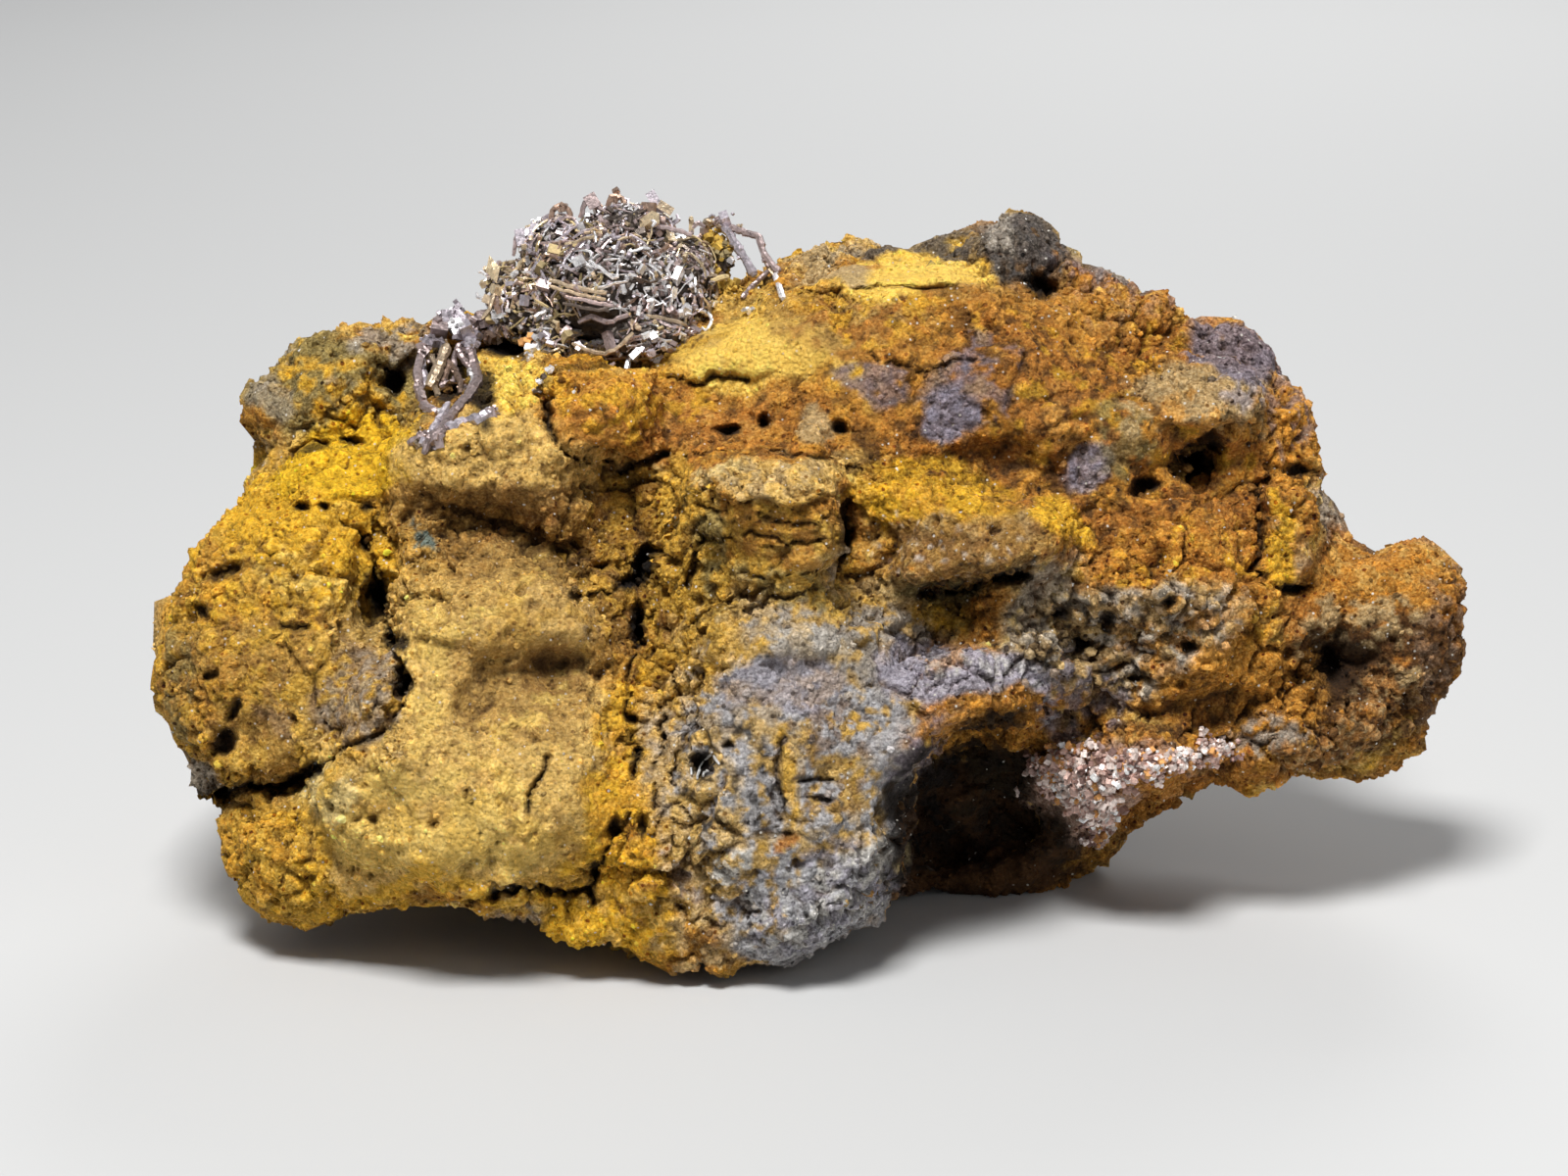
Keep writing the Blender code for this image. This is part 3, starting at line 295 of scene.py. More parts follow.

# Hollows and rises of the front: middle, half sizes, turn, height in mm, and how black it is
# painted; the black is painted shade in hollows and pits, and painted shadow by the loops and under
# the nest
MARKS = {
    "crest": ((530, 468), (120, 46), -12, 0.5, 0),
    "hollow under the crest": ((512, 548), (110, 38), -16, -1.1, 0.1),
    "hollow's deep end": ((566, 574), (52, 22), -14, -0.5, 0.25),
    "slab's bulge": ((490, 630), (90, 40), -10, 0.5, 0),
    "slab's dimple": ((540, 702), (76, 46), 12, -0.8, 0.05),
    "dimple's deep end": ((562, 682), (50, 22), 8, -0.3, 0.15),
    "slab's lower bulge": ((440, 820), (120, 60), -20, 0.5, 0),
    "arch face": ((792, 552), (60, 30), 0, -0.5, 0.05),
    "fissure valley": ((642, 600), (36, 100), 4, -0.6, 0.1),
    "beside the crack": ((372, 612), (26, 52), 0, -0.7, 0.3),
    "slope valley": ((1000, 474), (120, 24), 8, -0.6, 0.2),
    "pitted hollow": ((1130, 650), (110, 40), 6, -0.7, 0.1),
    # Painted shade and shadows: the next five marks are painted black where the loops and the nest
    # leave the rock unlit
    "behind the loops": ((455, 382), (25, 36), 0, -1.2, 0.95),
    "shadow right of the loops": ((491, 402), (19, 34), 0, -0.6, 0.95),
    "gap under the nest": ((522, 354), (32, 12), 0, -1.2, 1.0),
    "nest's shadow": ((598, 374), (44, 6), 4, -0.4, 0.6),
    "shadow below the nest": ((556, 394), (6, 8), 0, -0.4, 0.6),
    "lower right hollow": ((1232, 728), (70, 26), 8, -1.0, 0.3),
    "wing's wide hollow": ((1362, 684), (50, 46), 10, -1.2, 0.55),
    "roof": ((1010, 742), (60, 22), 12, -0.7, 0.05),
    "boss groove": ((232, 583), (22, 9), 20, -0.7, 0.6),
    "boss pit": ((207, 625), (8, 7), 0, -0.6, 0.8),
    "boss second pit": ((216, 688), (9, 6), 20, -0.6, 0.8),
    "boss slit": ((240, 722), (16, 5), 60, -0.7, 0.9),
    "boss hole": ((229, 757), (13, 16), 0, -1.2, 0.9),
    "boss hole's knob": ((214, 755), (12, 11), 0, 0.7, 0),
    "boss specks": ((300, 640), (20, 5), 0, -0.4, 0.6),
    "crack's wide part": ((386, 602), (11, 24), 0, -1.8, 1.0),
    "crack's middle": ((404, 655), (14, 9), 0, -1.4, 0.9),
    "crack's lower part": ((412, 698), (12, 16), 0, -1.4, 0.9),
    "lobe hole": ((400, 388), (13, 15), 0, -1.8, 1.0),
    "lobe slit": ((355, 449), (14, 5), -8, -0.8, 0.8),
    "lobe's edge": ((318, 457), (22, 6), 14, -0.8, 0.8),
    "slope's pit": ((307, 517), (9, 5), 0, -0.7, 0.9),
    "slope's second pit": ((330, 516), (7, 4), 0, -0.6, 0.9),
    "slope's third pit": ((374, 518), (8, 5), 0, -0.7, 0.9),
    "upper fissure hole": ((655, 578), (13, 24), -8, -2.6, 1.0),
    "fissure hole's arm": ((640, 596), (16, 7), 10, -1.4, 1.0),
    "lower fissure hole": ((649, 641), (10, 24), 0, -2.4, 1.0),
    "fissure pit": ((586, 607), (8, 6), 0, -0.9, 0.9),
    "rubble pit": ((646, 735), (8, 9), 0, -0.9, 0.9),
    "rubble second pit": ((652, 770), (8, 12), 0, -0.9, 0.9),
    "rubble third pit": ((626, 848), (8, 13), 0, -0.9, 0.9),
    "rubble fourth pit": ((607, 886), (8, 12), 0, -0.9, 0.9),
    "rubble fifth pit": ((655, 846), (6, 16), 0, -0.7, 0.8),
    "arch slot": ((862, 548), (8, 30), -3, -2.0, 0.9),
    "slope pit": ((745, 440), (15, 6), 0, -0.9, 0.8),
    "slope second pit": ((779, 430), (6, 8), 0, -0.9, 0.9),
    "slope third pit": ((858, 436), (8, 8), 0, -0.8, 0.9),
    "peak cavity": ((1062, 292), (20, 13), -25, -1.2, 1.0),
    "ledge cavity": ((1214, 470), (26, 20), 30, -2.0, 1.0),
    "ledge cavity's upper part": ((1235, 450), (14, 12), 0, -1.2, 0.9),
    "ledge's lower pit": ((1170, 494), (16, 8), -10, -1.0, 0.9),
    "bulge notch": ((1326, 480), (12, 8), 0, -0.9, 0.9),
    "mound undercut": ((1034, 586), (24, 7), 6, -1.2, 1.0),
    "wing notch": ((1316, 600), (18, 6), -4, -1.0, 1.0),
    "wing hollow": ((1362, 680), (18, 24), 10, -0.9, 0.7),
    "flank pit": ((1100, 655), (14, 12), 0, -1.1, 0.9),
    "flank second pit": ((1130, 630), (10, 8), 0, -0.9, 0.9),
    "flank third pit": ((1160, 690), (12, 8), 20, -0.9, 0.9),
    "flank fourth pit": ((1080, 625), (9, 7), 0, -0.8, 0.9),
    "flank fifth pit": ((1215, 660), (9, 8), 0, -0.8, 0.9),
    "flank sixth pit": ((1195, 612), (8, 6), 0, -0.7, 0.8),
    "grey pit": ((717, 782), (14, 17), 0, -1.0, 1.0),
    "grey mark": ((830, 795), (22, 3), 0, -0.4, 0.7),
    "second grey mark": ((838, 815), (18, 3), -6, -0.4, 0.7),
    "third grey mark": ((742, 760), (6, 5), 0, -0.5, 0.8),
    "grey lens": ((820, 655), (44, 18), 8, 0.35, 0),
    "second grey lens": ((895, 640), (30, 10), 20, 0.4, 0),
    "mound's bead": ((1090, 520), (14, 11), 0, 0.5, 0),
    "round bump": ((827, 437), (18, 18), 0, 0.4, 0),
    "knob": ((608, 412), (30, 26), 0, 0.4, 0),
    "roof's bump": ((1036, 737), (22, 14), 0, 0.6, 0),
}

# Cracks: half width in pixels, depth in mm, blackness, which is painted shade in the crack and
# under a lip, and the line
CRACKS = {
    "boss crack": (6, 1.5, 1.0, [(372, 552), (378, 580), (386, 618), (402, 660), (416, 690),
                                 (418, 716)]),
    "boss crack, lower": (2.5, 0.5, 0.55, [(418, 716), (400, 742), (366, 762), (330, 776)]),
    "arch strata": (2, 0.35, 0.55, [(726, 532), (770, 528), (812, 534), (850, 530)]),
    "arch strata, middle": (2, 0.35, 0.55, [(722, 548), (764, 544), (806, 552), (846, 547)]),
    "arch strata, low": (2, 0.25, 0.35, [(726, 582), (770, 590), (830, 586), (868, 592)]),
    "streak below the arch": (3, 0.4, 0.7, [(752, 628), (790, 612), (836, 606)]),
    "second streak": (3, 0.4, 0.6, [(700, 640), (740, 616), (776, 602)]),
    "under the boss": (9, 2.0, 1.0, [(206, 806), (248, 806), (290, 799), (326, 782)]),
    "knob arc": (3, 0.9, 0.8, [(556, 412), (558, 436), (570, 456), (598, 473), (636, 478),
                              (680, 462)]),
    "shelf lip": (2.2, 0.5, 0.65, [(680, 385), (700, 389), (740, 389), (764, 386)]),
    "second shelf's lip": (1.5, 0.2, 0.2, [(820, 296), (900, 296), (980, 300)]),
    "rib crack": (3, 0.8, 0.9, [(704, 503), (696, 528), (684, 548)]),
    "rib groove": (5, 0.7, 0.6, [(716, 545), (706, 575), (702, 602)]),
    "slab crack": (2.4, 0.7, 0.9, [(556, 776), (546, 800), (536, 830)]),
    "slab's short crack": (2, 0.3, 0.6, [(482, 800), (474, 812)]),
    "slab's foot": (4, 1.0, 1.0, [(500, 912), (540, 908), (578, 912), (604, 904)]),
    "slab's foot, left": (3, 0.4, 0.5, [(430, 924), (470, 920), (500, 912)]),
    "fissure crack": (2.4, 0.6, 0.8, [(600, 600), (622, 606), (642, 604)]),
    "fissure line": (3, 0.6, 0.6, [(650, 660), (640, 700), (646, 740), (652, 790)]),
    "fissure's end": (3.5, 0.6, 0.8, [(640, 836), (628, 862), (610, 890), (604, 920)]),
    "second fissure line": (3, 0.5, 0.6, [(668, 660), (682, 700), (676, 760), (668, 820)]),
    "grey crack": (2, 0.4, 0.6, [(797, 748), (794, 790), (799, 840)]),
    "grey edge": (4, 0.5, 0.4, [(730, 640), (716, 690), (706, 740), (690, 800)]),
    "wing crack": (4, 0.9, 0.9, [(1288, 486), (1284, 540), (1292, 596)]),
    "under the mound": (5, 1.2, 1.0, [(936, 600), (976, 604), (1010, 594), (1034, 584),
                                      (1056, 572)]),
    "slope line": (3, 0.4, 0.5, [(700, 470), (760, 462), (840, 466), (880, 480)]),
    "slope's upper line": (2.5, 0.35, 0.5, [(880, 360), (940, 380), (1000, 372)]),
}

# Ledges: height in mm and width in pixels of the rise on the left of the line, and the line
LEDGES = {
    "slab over the boss": (0.9, 70, [(368, 530), (378, 580), (386, 618), (402, 660), (418, 696),
                                     (414, 722), (380, 756), (330, 776), (290, 792)]),
    "slab over the wedge": (0.6, 40, [(322, 780), (328, 830), (312, 872), (322, 920)]),
    "crest": (1.0, 60, [(424, 500), (480, 520), (540, 540), (604, 566)]),
    "knob": (0.5, 50, [(554, 400), (560, 436), (598, 473), (640, 479), (690, 456)]),
    "shelf": (0.22, 60, [(660, 382), (700, 391), (764, 387), (806, 374)]),
    "second shelf": (0.35, 30, [(816, 294), (900, 297), (1004, 300)]),
    "arch cap": (0.8, 34, [(714, 508), (740, 514), (790, 512), (860, 514)]),
    "arch's left side": (0.5, 40, [(718, 516), (712, 560), (706, 630)]),
    "arch's right side": (0.4, 30, [(856, 600), (856, 560), (856, 512)]),
    "mound": (0.9, 50, [(896, 580), (950, 597), (1000, 593), (1052, 574), (1100, 545)]),
    "grey mass over the cave": (0.7, 40, [(872, 912), (915, 850), (950, 790), (985, 745),
                                          (1060, 722), (1116, 742)]),
    "yellow strip": (0.7, 30, [(1290, 496), (1290, 548), (1294, 604)]),
    "right ledge": (0.6, 40, [(1170, 424), (1230, 442), (1306, 420)]),
    "boss's foot": (0.6, 40, [(206, 770), (250, 792), (322, 788)]),
    "slab's foot": (0.5, 40, [(420, 926), (500, 914), (560, 910), (610, 900)]),
}

# How crumbly the front is, 1 where no area lies: middle, half sizes and amount
CRUMBLY_AREAS = {
    "slab": ((515, 740), (115, 205), 0.3),
    "slab's left side": ((400, 850), (90, 70), 0.4),
    "shelf": ((775, 355), (110, 36), 0.12),
    "top band": ((925, 283), (90, 20), 0.15),
    "boss": ((290, 640), (110, 150), 0.6),
    "crest": ((530, 465), (110, 55), 0.5),
    "grey mass": ((830, 760), (110, 170), 0.45),
    "arch": ((792, 552), (72, 54), 0.45),
    "brown slope": ((760, 425), (190, 70), 0.55),
    "yellow slope": ((365, 475), (90, 40), 0.6),
    "upper slope": ((990, 370), (180, 80), 0.5),
    "right": ((1130, 470), (170, 80), 0.6),
    "mound": ((980, 540), (100, 44), 0.55),
    "pitted zone": ((1150, 652), (130, 60), 1.4),
    "wing's foot": ((1380, 705), (100, 56), 1.4),
}
# How crumbly the hidden sides are
BACK_CRUMBLY = 1.6
# Where such an area begins to fade out and where it ends, as shares of its half sizes
CRUMBLY_FADE = (0.7, 1.15)

# The rock's mesh: voxel sizes in mm, rounds of smoothing, the triangles that it keeps, how much
# more its back is thinned than its front, and how much that counts
COARSE_VOXEL = 0.3
FINE_VOXEL = 0.17
SMOOTHING = 8
ROCK_TRIANGLES = 196000
BACK_THRIFT = 0.45
THRIFT_WEIGHT = 0.4

# Noise patterns: size of the longest waves in mm, seed, and octaves
WAVES = {
    "shift across": (2.0, 1, 2),
    "shift up": (2.0, 2, 2),
    "shift of widths": (2.0, 3, 2),
    "fine shift": (0.6, 14, 2),
    "lumps": (3.4, 7, 4),
    "folds": (1.5, 11, 2),
    "fine folds": (0.6, 12, 2),
    "grit": (0.4, 8, 1),
    "cracked areas": (4.0, 9, 2),
    "loose areas": (2.6, 10, 2),
    "broad colours": (9.0, 24, 3),
    "rust colours": (5.0, 29, 4),
    "grey colours": (7.0, 25, 4),
    "colour shift across": (1.6, 21, 3),
    "colour shift up": (1.6, 22, 3),
    "colour shift right": (1.6, 23, 3),
    "patch bend across": (4.5, 26, 2),
    "patch bend up": (4.5, 27, 2),
    "patch edge": (0.6, 28, 2),
    "nest core": (0.9, 51, 3),
}
SPECK_SEED = 30
SPECK_OCTAVES = 3

# Relief all over the rock: heights of its patterns in mm
LUMPS = 0.4
FOLDS = 0.34
FINE_FOLDS = 0.1
FINE_FOLDS_WHERE_CRUMBLY = 0.14
GRIT = 0.06
# How far the places of clods and pits are shifted by noise, in mm
CLOD_SHIFT = 0.32
# Gaps between clods: size of the clods in mm, seed, depth in mm, how near to the middle of the
# gap they begin and are deepest, and the pattern that says where they are, with its limits
CLOD_GAPS = {
    "clods": (2.3, 4, 0.5, (0.86, 0.99), "cracked areas", (0.0, 0.3)),
    "crumbs": (0.9, 5, 0.3, (0.8, 0.98), "loose areas", (-0.15, 0.2)),
}
# Round pits: their spacing in mm, seed, depth in mm, share of them that is there, and the
# distances at which their floor ends and their rim ends, as shares of the spacing
PITS = {
    "pits": (1.0, 6, 0.45, 0.2, (0.08, 0.34)),
    "small holes": (0.55, 13, 0.26, 0.16, (0.1, 0.4)),
}

# How ragged the marks and cracks are: shares of the coarse and the fine noise in a mark's edge,
# pixels that they shift a line by, a crack's width against the one in its row and what noise
# adds to it, and the least half width in pixels
RAGGED = 0.25
FINE_RAGGED = 0.3
LINE_SHIFT = 9
FINE_LINE_SHIFT = 5
CRACK_WIDTH = 0.8
CRACK_WIDTH_CHANGE = 1.1
THINNEST_CRACK = 0.8
# Where marks and cracks begin to fade out and where they end, in depth and in blackness, from 0
# in their middle to 1 at their edge; the share of a ledge's line over which each of its ends
# rises, and the pixels over which its brow does
MARK_FADE = (0.45, 1.25)
MARK_BLACK_FADE = (0.6, 1.1)
CRACK_FADE = (0.3, 1.5)
CRACK_BLACK_FADE = (0.3, 1.3)
LEDGE_END = 0.15
LEDGE_BROW = 5

# Mottling all over the rock, painted in this order: pigment, strength, pattern or size of specks
# in mm, the ranks in it between which the pigment fades in, and the side of the rock
MOTTLING = [
    ("yellow", 1, "broad colours", (0.5, 0.85), "left"),
    ("orange", 0.8, "broad colours, turned", (0.3, 0.6), "right"),
    ("rust", 0.7, 1.2, (0.55, 0.7), "right"),
    ("brown ochre", 0.5, 1.4, (0.6, 0.75), "all"),
    ("tan", 0.5, 1.6, (0.65, 0.8), "all"),
    ("rust", 0.7, "rust colours", (0.45, 0.75), "all"),
    ("grey tan", 0.6, "grey colours", (0.80, 0.88), "all"),
    ("grey", 0.8, "grey colours", (0.90, 0.95), "all"),
    ("dark brown", 0.7, 0.5, (0.80, 0.88), "all"),
    ("pale yellow", 0.5, 0.8, (0.86, 0.93), "all"),
    ("brown", 0.6, 0.9, (0.35, 0.6), "low"),
]
# Where the right side and the foot of the rock begin and end in mm, how far noise shifts that,
# and the share of the left's pigment that is missing on the right
RIGHT_SIDE = (-6, 10)
RIGHT_SHIFT = 6
LOW_SIDE = (2, 9)
LOW_SHIFT = 3
LEFT_ONLY = 0.6
# Edges of the patches: pixels that fine and coarse noise shift them by, their own noise, where
# they fade out, and half the span of ranks over which specks do
PATCH_SHIFT = 12
PATCH_BEND = 26
PATCH_RAGGED = 0.12
PATCH_FADE = (0.82, 1.12)
SPECK_FADE = 0.08
# Painted shade in hollows and painted light on ridges: rounds of averaging that find fine and
# wide hollows, the depths in mm between which each darkens, how much, the most, and the lightening
NEAR_ROUNDS = 5
WIDE_ROUNDS = 45
NEAR_HOLLOW = (0.02, 0.16)
WIDE_HOLLOW = (0.1, 0.7)
HOLLOW_SHADE = 0.55
MOST_SHADE = 0.85
RIDGE = (0.0, 0.12)
RIDGE_LIGHT = 0.22
# How grit follows the crumbliness, as a power of it, and the brightness over which it comes in
GRIT_POWER = 0.4
GRIT_LIT = (0.02, 0.09)

# Grains set into the rock: how many, solid, half sizes in mm, weight of the front out of 1, and
# share of white ones
GRAINS = {
    "coarse_grains": (9700, "icosahedron", (0.10, 0.22), 0.65, 0.0),
    "fine_grains_a": (22500, "octahedron", (0.05, 0.11), 0.8, 0.012),
    "fine_grains_b": (22500, "octahedron", (0.05, 0.11), 0.5, 0.012),
}
# The share of grains that lie anywhere, and the power by which small ones outnumber large ones
GRAINS_ANYWHERE = 0.35
SMALL_GRAINS = 2.2
# Size of a grain on firm rock, and what crumbly rock adds
FIRM_SIZE = 0.7
CRUMBLY_SIZE = 0.5
# Limits of a grain's proportions and of its lumps, how deep it sits, as a share of its half
# size, its tone against the rock's as mean, spread and limits, and how gritty it is
GRAIN_PROPORTIONS = (0.65, 1.2)
GRAIN_LUMPS = (0.75, 1.15)
GRAIN_SUNK = 0.25
GRAIN_TONE = (1.05, 0.26)
GRAIN_TONE_LIMITS = (0.45, 1.7)
GRAIN_GRIT = 0.8

# Colours of the copper, of what dusts it and of the white crystals
TINTS = {
    "mauve": (0.46, 0.36, 0.345),
    "brown": (0.34, 0.23, 0.17),
    "dark": (0.14, 0.11, 0.09),
    "silver": (0.86, 0.84, 0.84),
    "lilac": (0.58, 0.52, 0.56),
    "tan": (0.52, 0.40, 0.27),
    "pale tan": (0.66, 0.52, 0.33),
    "pink": (0.58, 0.40, 0.34),
    "dark pink": (0.30, 0.18, 0.15),
    "pale pink": (0.78, 0.66, 0.60),
    "orange": (0.60, 0.30, 0.10),
    "ochre dust": (0.55, 0.35, 0.06),
    "tan dust": (0.42, 0.32, 0.16),
    "olive dust": (0.30, 0.23, 0.105),
    "white": (0.85, 0.84, 0.82),
}
DUSTY = ("ochre dust", "tan dust", "olive dust", "orange")

# The nest is a dome of lumps: middle as (across, up, near) in mm, and half sizes
NEST_LUMPS = {
    "dome": ((-8.5, 28.2, -3.3), (3.4, 2.8, 3.0)),
    "left end": ((-11.6, 27.7, -3.2), (1.4, 1.6, 1.7)),
    "far left": ((-12.6, 28.3, -3.4), (0.8, 1.2, 1.0)),
    "right end": ((-5.5, 28.3, -3.4), (1.5, 1.9, 1.9)),
    "top": ((-7.6, 30.6, -3.8), (2.0, 1.3, 1.7)),
    "upper left": ((-10.4, 29.9, -3.7), (1.7, 1.5, 1.7)),
    "upper right": ((-5.4, 29.5, -3.8), (1.3, 1.2, 1.4)),
    "front foot": ((-6.8, 26.4, -1.7), (2.0, 0.9, 1.4)),
    "left foot": ((-10.8, 26.2, -2.0), (1.1, 0.8, 1.2)),
}
# Its dark core, painted dark as the shade inside the tangle: size against the lumps, voxels and
# roughness in mm, and lightness
CORE_SIZE = 0.8
CORE_VOXEL = 0.2
CORE_ROUGHNESS = 0.35
CORE_SHADE_LIGHTNESS = 0.5
# What lies on the core: how many, half sizes in mm, and the shares of the lumps' size between
# which crystals and chunks lie
NEST_WIRES = 1900
NEST_WIRE = (0.03, 0.075)
NEST_HOOKS = 110
NEST_HOOK = (0.07, 0.13)
NEST_CRYSTALS = 4200
NEST_CRYSTAL = (0.035, 0.1)
CRYSTAL_LAYER = (0.84, 1.02)
CRYSTAL_STRETCH = (1, 2.6)
NEST_CHUNKS = 130
NEST_CHUNK = (0.1, 0.2)
CHUNK_LAYER = (0.98, 1.08)
CHUNK_STRETCH = (1, 2.2)
# A wire that winds over the nest: its steps in mm and its sides, the least number of places that
# it is led through and one more than the most, its layers and how far it strays from them, how
# far from place to place in mm, how much it turns in radians, how often it kinks, and how much
NEST_WIRE_STEP = 0.26
NEST_WIRE_SIDES = 4
CRAWL_POINTS = (3, 7)
CRAWL_LAYER = (0.84, 1.06)
CRAWL_LIMITS = (0.8, 1.1)
LAYER_WANDER = 0.03
CRAWL_STEP = 0.28
CRAWL_TURN = 0.1
KINK_CHANCE = 0.14
KINK_TURNS = [-1.1, 1.1]
# A hook: how far its points stray in mm, the layer where it starts, how high it rises and how
# far it leans in mm, and its points as shares of both
HOOK_JITTER = 0.03
HOOK_ROOT = 0.9
HOOK_RISE = (0.35, 0.9)
HOOK_CURL = (0.1, 0.5)
HOOK_SHAPE = [(0, 0), (0.6, 0.1), (1, 0.5), (0.85, 1)]
# Where the nest is open and its core, painted dark as shade, shows: middle and half sizes in
# pixels, and how near in mm the wires and crystals are that are left out there
NEST_GAPS = [((612, 330), (32, 20)), ((524, 352), (24, 14)), ((690, 236), (18, 6))]
GAP_NEAR = -2.6
# Where the nest is brightest, and its share of silver there and elsewhere
NEST_SILVER = ((642, 284), (56, 32))
SILVER_THERE = 0.62
SILVER_ELSEWHERE = 0.2
# Where dust lies: right of the first x or left of the second, and below a y, all in pixels, with
# the share of dusty wires there and elsewhere, and what the other tints are drawn from
RIGHT_DUST = (715, 240, 0.3)
LEFT_DUST = (600, 270, 0.28)
DUST_ELSEWHERE = 0.08
NEST_DUST = ["tan dust", "tan dust", "olive dust", "tan", "tan"]
NEST_TINTS = ["mauve", "mauve", "lilac", "lilac", "brown", "pale tan", "mauve", "dark"]

# Wires: steps between their points and how far these stray in mm, sides, limits of their width,
# the width of their ends, limits of their lightness, and a direction that hardly any wire has
WIRE_STEP = 0.2
WIRE_JITTER = 0.02
WIRE_SIDES = 6
WIRE_WIDTHS = (0.82, 1.18)
WIRE_END = 0.7
WIRE_LIGHTNESS = (0.75, 1.25)
OBLIQUE = (0.3, 0.5, 0.8)
# Small crystals: limits of their proportions and lightness
BLOCK_SHAPE = (0.6, 1.3)
BLOCK_LIGHTNESS = (0.7, 1.3)
# How dull a dusty wire or crystal is
DUST = 0.9


def place(across, up, near):
    """The world points, in metres, that show at (across, up) and lie near in front of the plane."""
    across, up, near = (np.asarray(v, float) for v in (across, up, near))
    closeness = 1 - near / VIEW_DISTANCE
    side = SIGHT_ACROSS + (across - SIGHT_ACROSS) * closeness
    rise = SIGHT_UP + (up - SIGHT_UP) * closeness
    sine, cosine = math.sin(VIEW_ELEVATION), math.cos(VIEW_ELEVATION)
    return MM * np.stack([
        side - BOX_MIDDLE_X,
        rise * sine - near * cosine - BOX_MIDDLE_Y,
        rise * cosine + (near - TIP_NEAR) * sine,
    ], axis=-1)


def seen(points):
    """(across, up, near) in millimetres of world points in metres: the inverse of place."""
    x, y, z = (points / MM).T
    sine, cosine = math.sin(VIEW_ELEVATION), math.cos(VIEW_ELEVATION)
    y = y + BOX_MIDDLE_Y
    z = z + TIP_NEAR * sine
    near = z * sine - y * cosine
    closeness = 1 - near / VIEW_DISTANCE
    across = SIGHT_ACROSS + (x + BOX_MIDDLE_X - SIGHT_ACROSS) / closeness
    up = SIGHT_UP + (y * sine + z * cosine - SIGHT_UP) / closeness
    return across, up, near


def pixel_of(spot):
    """Where a spot given as (across, up, near) shows in the photograph."""
    return PLANE_PIXEL[0] + spot[0] * PIXELS_PER_MM, PLANE_PIXEL[1] - spot[1] * PIXELS_PER_MM


def pixels_of(points):
    """Where world points show in the photograph."""
    return pixel_of(seen(points))


def plane_of(px, py):
    """(across, up) in millimetres of a pixel."""
    return (px - PLANE_PIXEL[0]) / PIXELS_PER_MM, (PLANE_PIXEL[1] - py) / PIXELS_PER_MM


def step_up(low, high, value):
    """0 below low, 1 above high, and a smooth slope between them."""
    share = np.clip((value - low) / (high - low), 0, 1)
    return share * share * (3 - 2 * share)


def reach(px, py, middle, half, turn=0):
    """Distance from the middle of a turned ellipse in the picture, 1 on its edge."""
    angle = math.radians(turn)
    x, y = px - middle[0], middle[1] - py
    return np.hypot(
        (x * math.cos(angle) + y * math.sin(angle)) / half[0],
        (y * math.cos(angle) - x * math.sin(angle)) / half[1],
    )


def along_line(px, py, line):
    """Distance from a line in the picture, whether a point is left of it as it is walked, and
    how far along it the nearest place is, from 0 to 1."""
    nearest = np.full(len(px), np.inf)
    left = np.zeros(len(px), bool)
    along = np.zeros(len(px))
    for k, ((x0, y0), (x1, y1)) in enumerate(zip(line, line[1:])):
        dx, dy = x1 - x0, y1 - y0
        share = np.clip(((px - x0) * dx + (py - y0) * dy) / (dx * dx + dy * dy), 0, 1)
        distance = np.hypot(px - x0 - share * dx, py - y0 - share * dy)
        closer = distance < nearest
        nearest = np.where(closer, distance, nearest)
        left = np.where(closer, dx * (py - y0) < dy * (px - x0), left)
        along = np.where(closer, (k + share) / (len(line) - 1), along)
    return nearest, left, along


def scaled_list(points, size, seed):
    """Points in units of size mm, moved to a place of their own in the noise by the seed."""
    return (points / (size * MM) + seed * np.array(SEED_SHIFT)).tolist()


def waves(points, size, seed, octaves):
    """Fractal noise between about -1 and 1 whose longest waves are about size mm."""
    return np.array([noise.fractal(p, 1.0, 2.0, octaves) for p in scaled_list(points, size, seed)])


def pattern(points, name):
    """The noise of that name in WAVES."""
    return waves(points, *WAVES[name])


def cells(points, size, seed):
    """How deep in the gap between clods of that size each point lies, from 0 to 1 in its middle,
    its distance from the clod's middle, and a random number for the clod."""
    found = [noise.voronoi(p) for p in scaled_list(points, size, seed)]
    first = np.array([distances[0] for distances, _ in found])
    second = np.array([distances[1] for distances, _ in found])
    middles = np.array([middles[0] for _, middles in found])
    chance = np.modf(np.abs(np.sin(middles @ HASH_WEIGHTS) * HASH_SCALE))[0]
    return 1 - np.clip(second - first, 0, 1), first, chance


def ranked(values):
    """The same values spread evenly over 0 to 1."""
    order = np.empty(len(values))
    order[np.argsort(values)] = np.linspace(0, 1, len(values))
    return order


def gathered(items, name, width, kind=float):
    """What each of a mesh's items says under a name, as rows."""
    values = np.empty(len(items) * width, kind)
    items.foreach_get(name, values)
    return values.reshape(-1, width)


def points_of(mesh):
    return gathered(mesh.vertices, "co", 3)


def normals_of(mesh):
    return gathered(mesh.vertices, "normal", 3)


def edges_of(mesh):
    return gathered(mesh.edges, "vertices", 2, np.int64)


def triangles_of(mesh):
    mesh.calc_loop_triangles()
    return gathered(mesh.loop_triangles, "vertices", 3, np.int64)


def colours_of(mesh):
    """The colours that were painted on the mesh."""
    return gathered(mesh.attributes["pigment"].data, "color", 4)[:, :3]


def set_points(mesh, points):
    """Moves the mesh's vertices to these points."""
    mesh.vertices.foreach_set("co", points.ravel())
    mesh.update()


def linked(name, data):
    """A new object of the scene that shows a mesh, a light or a camera."""
    obj = bpy.data.objects.new(name, data)
    bpy.context.scene.collection.objects.link(obj)
    return obj


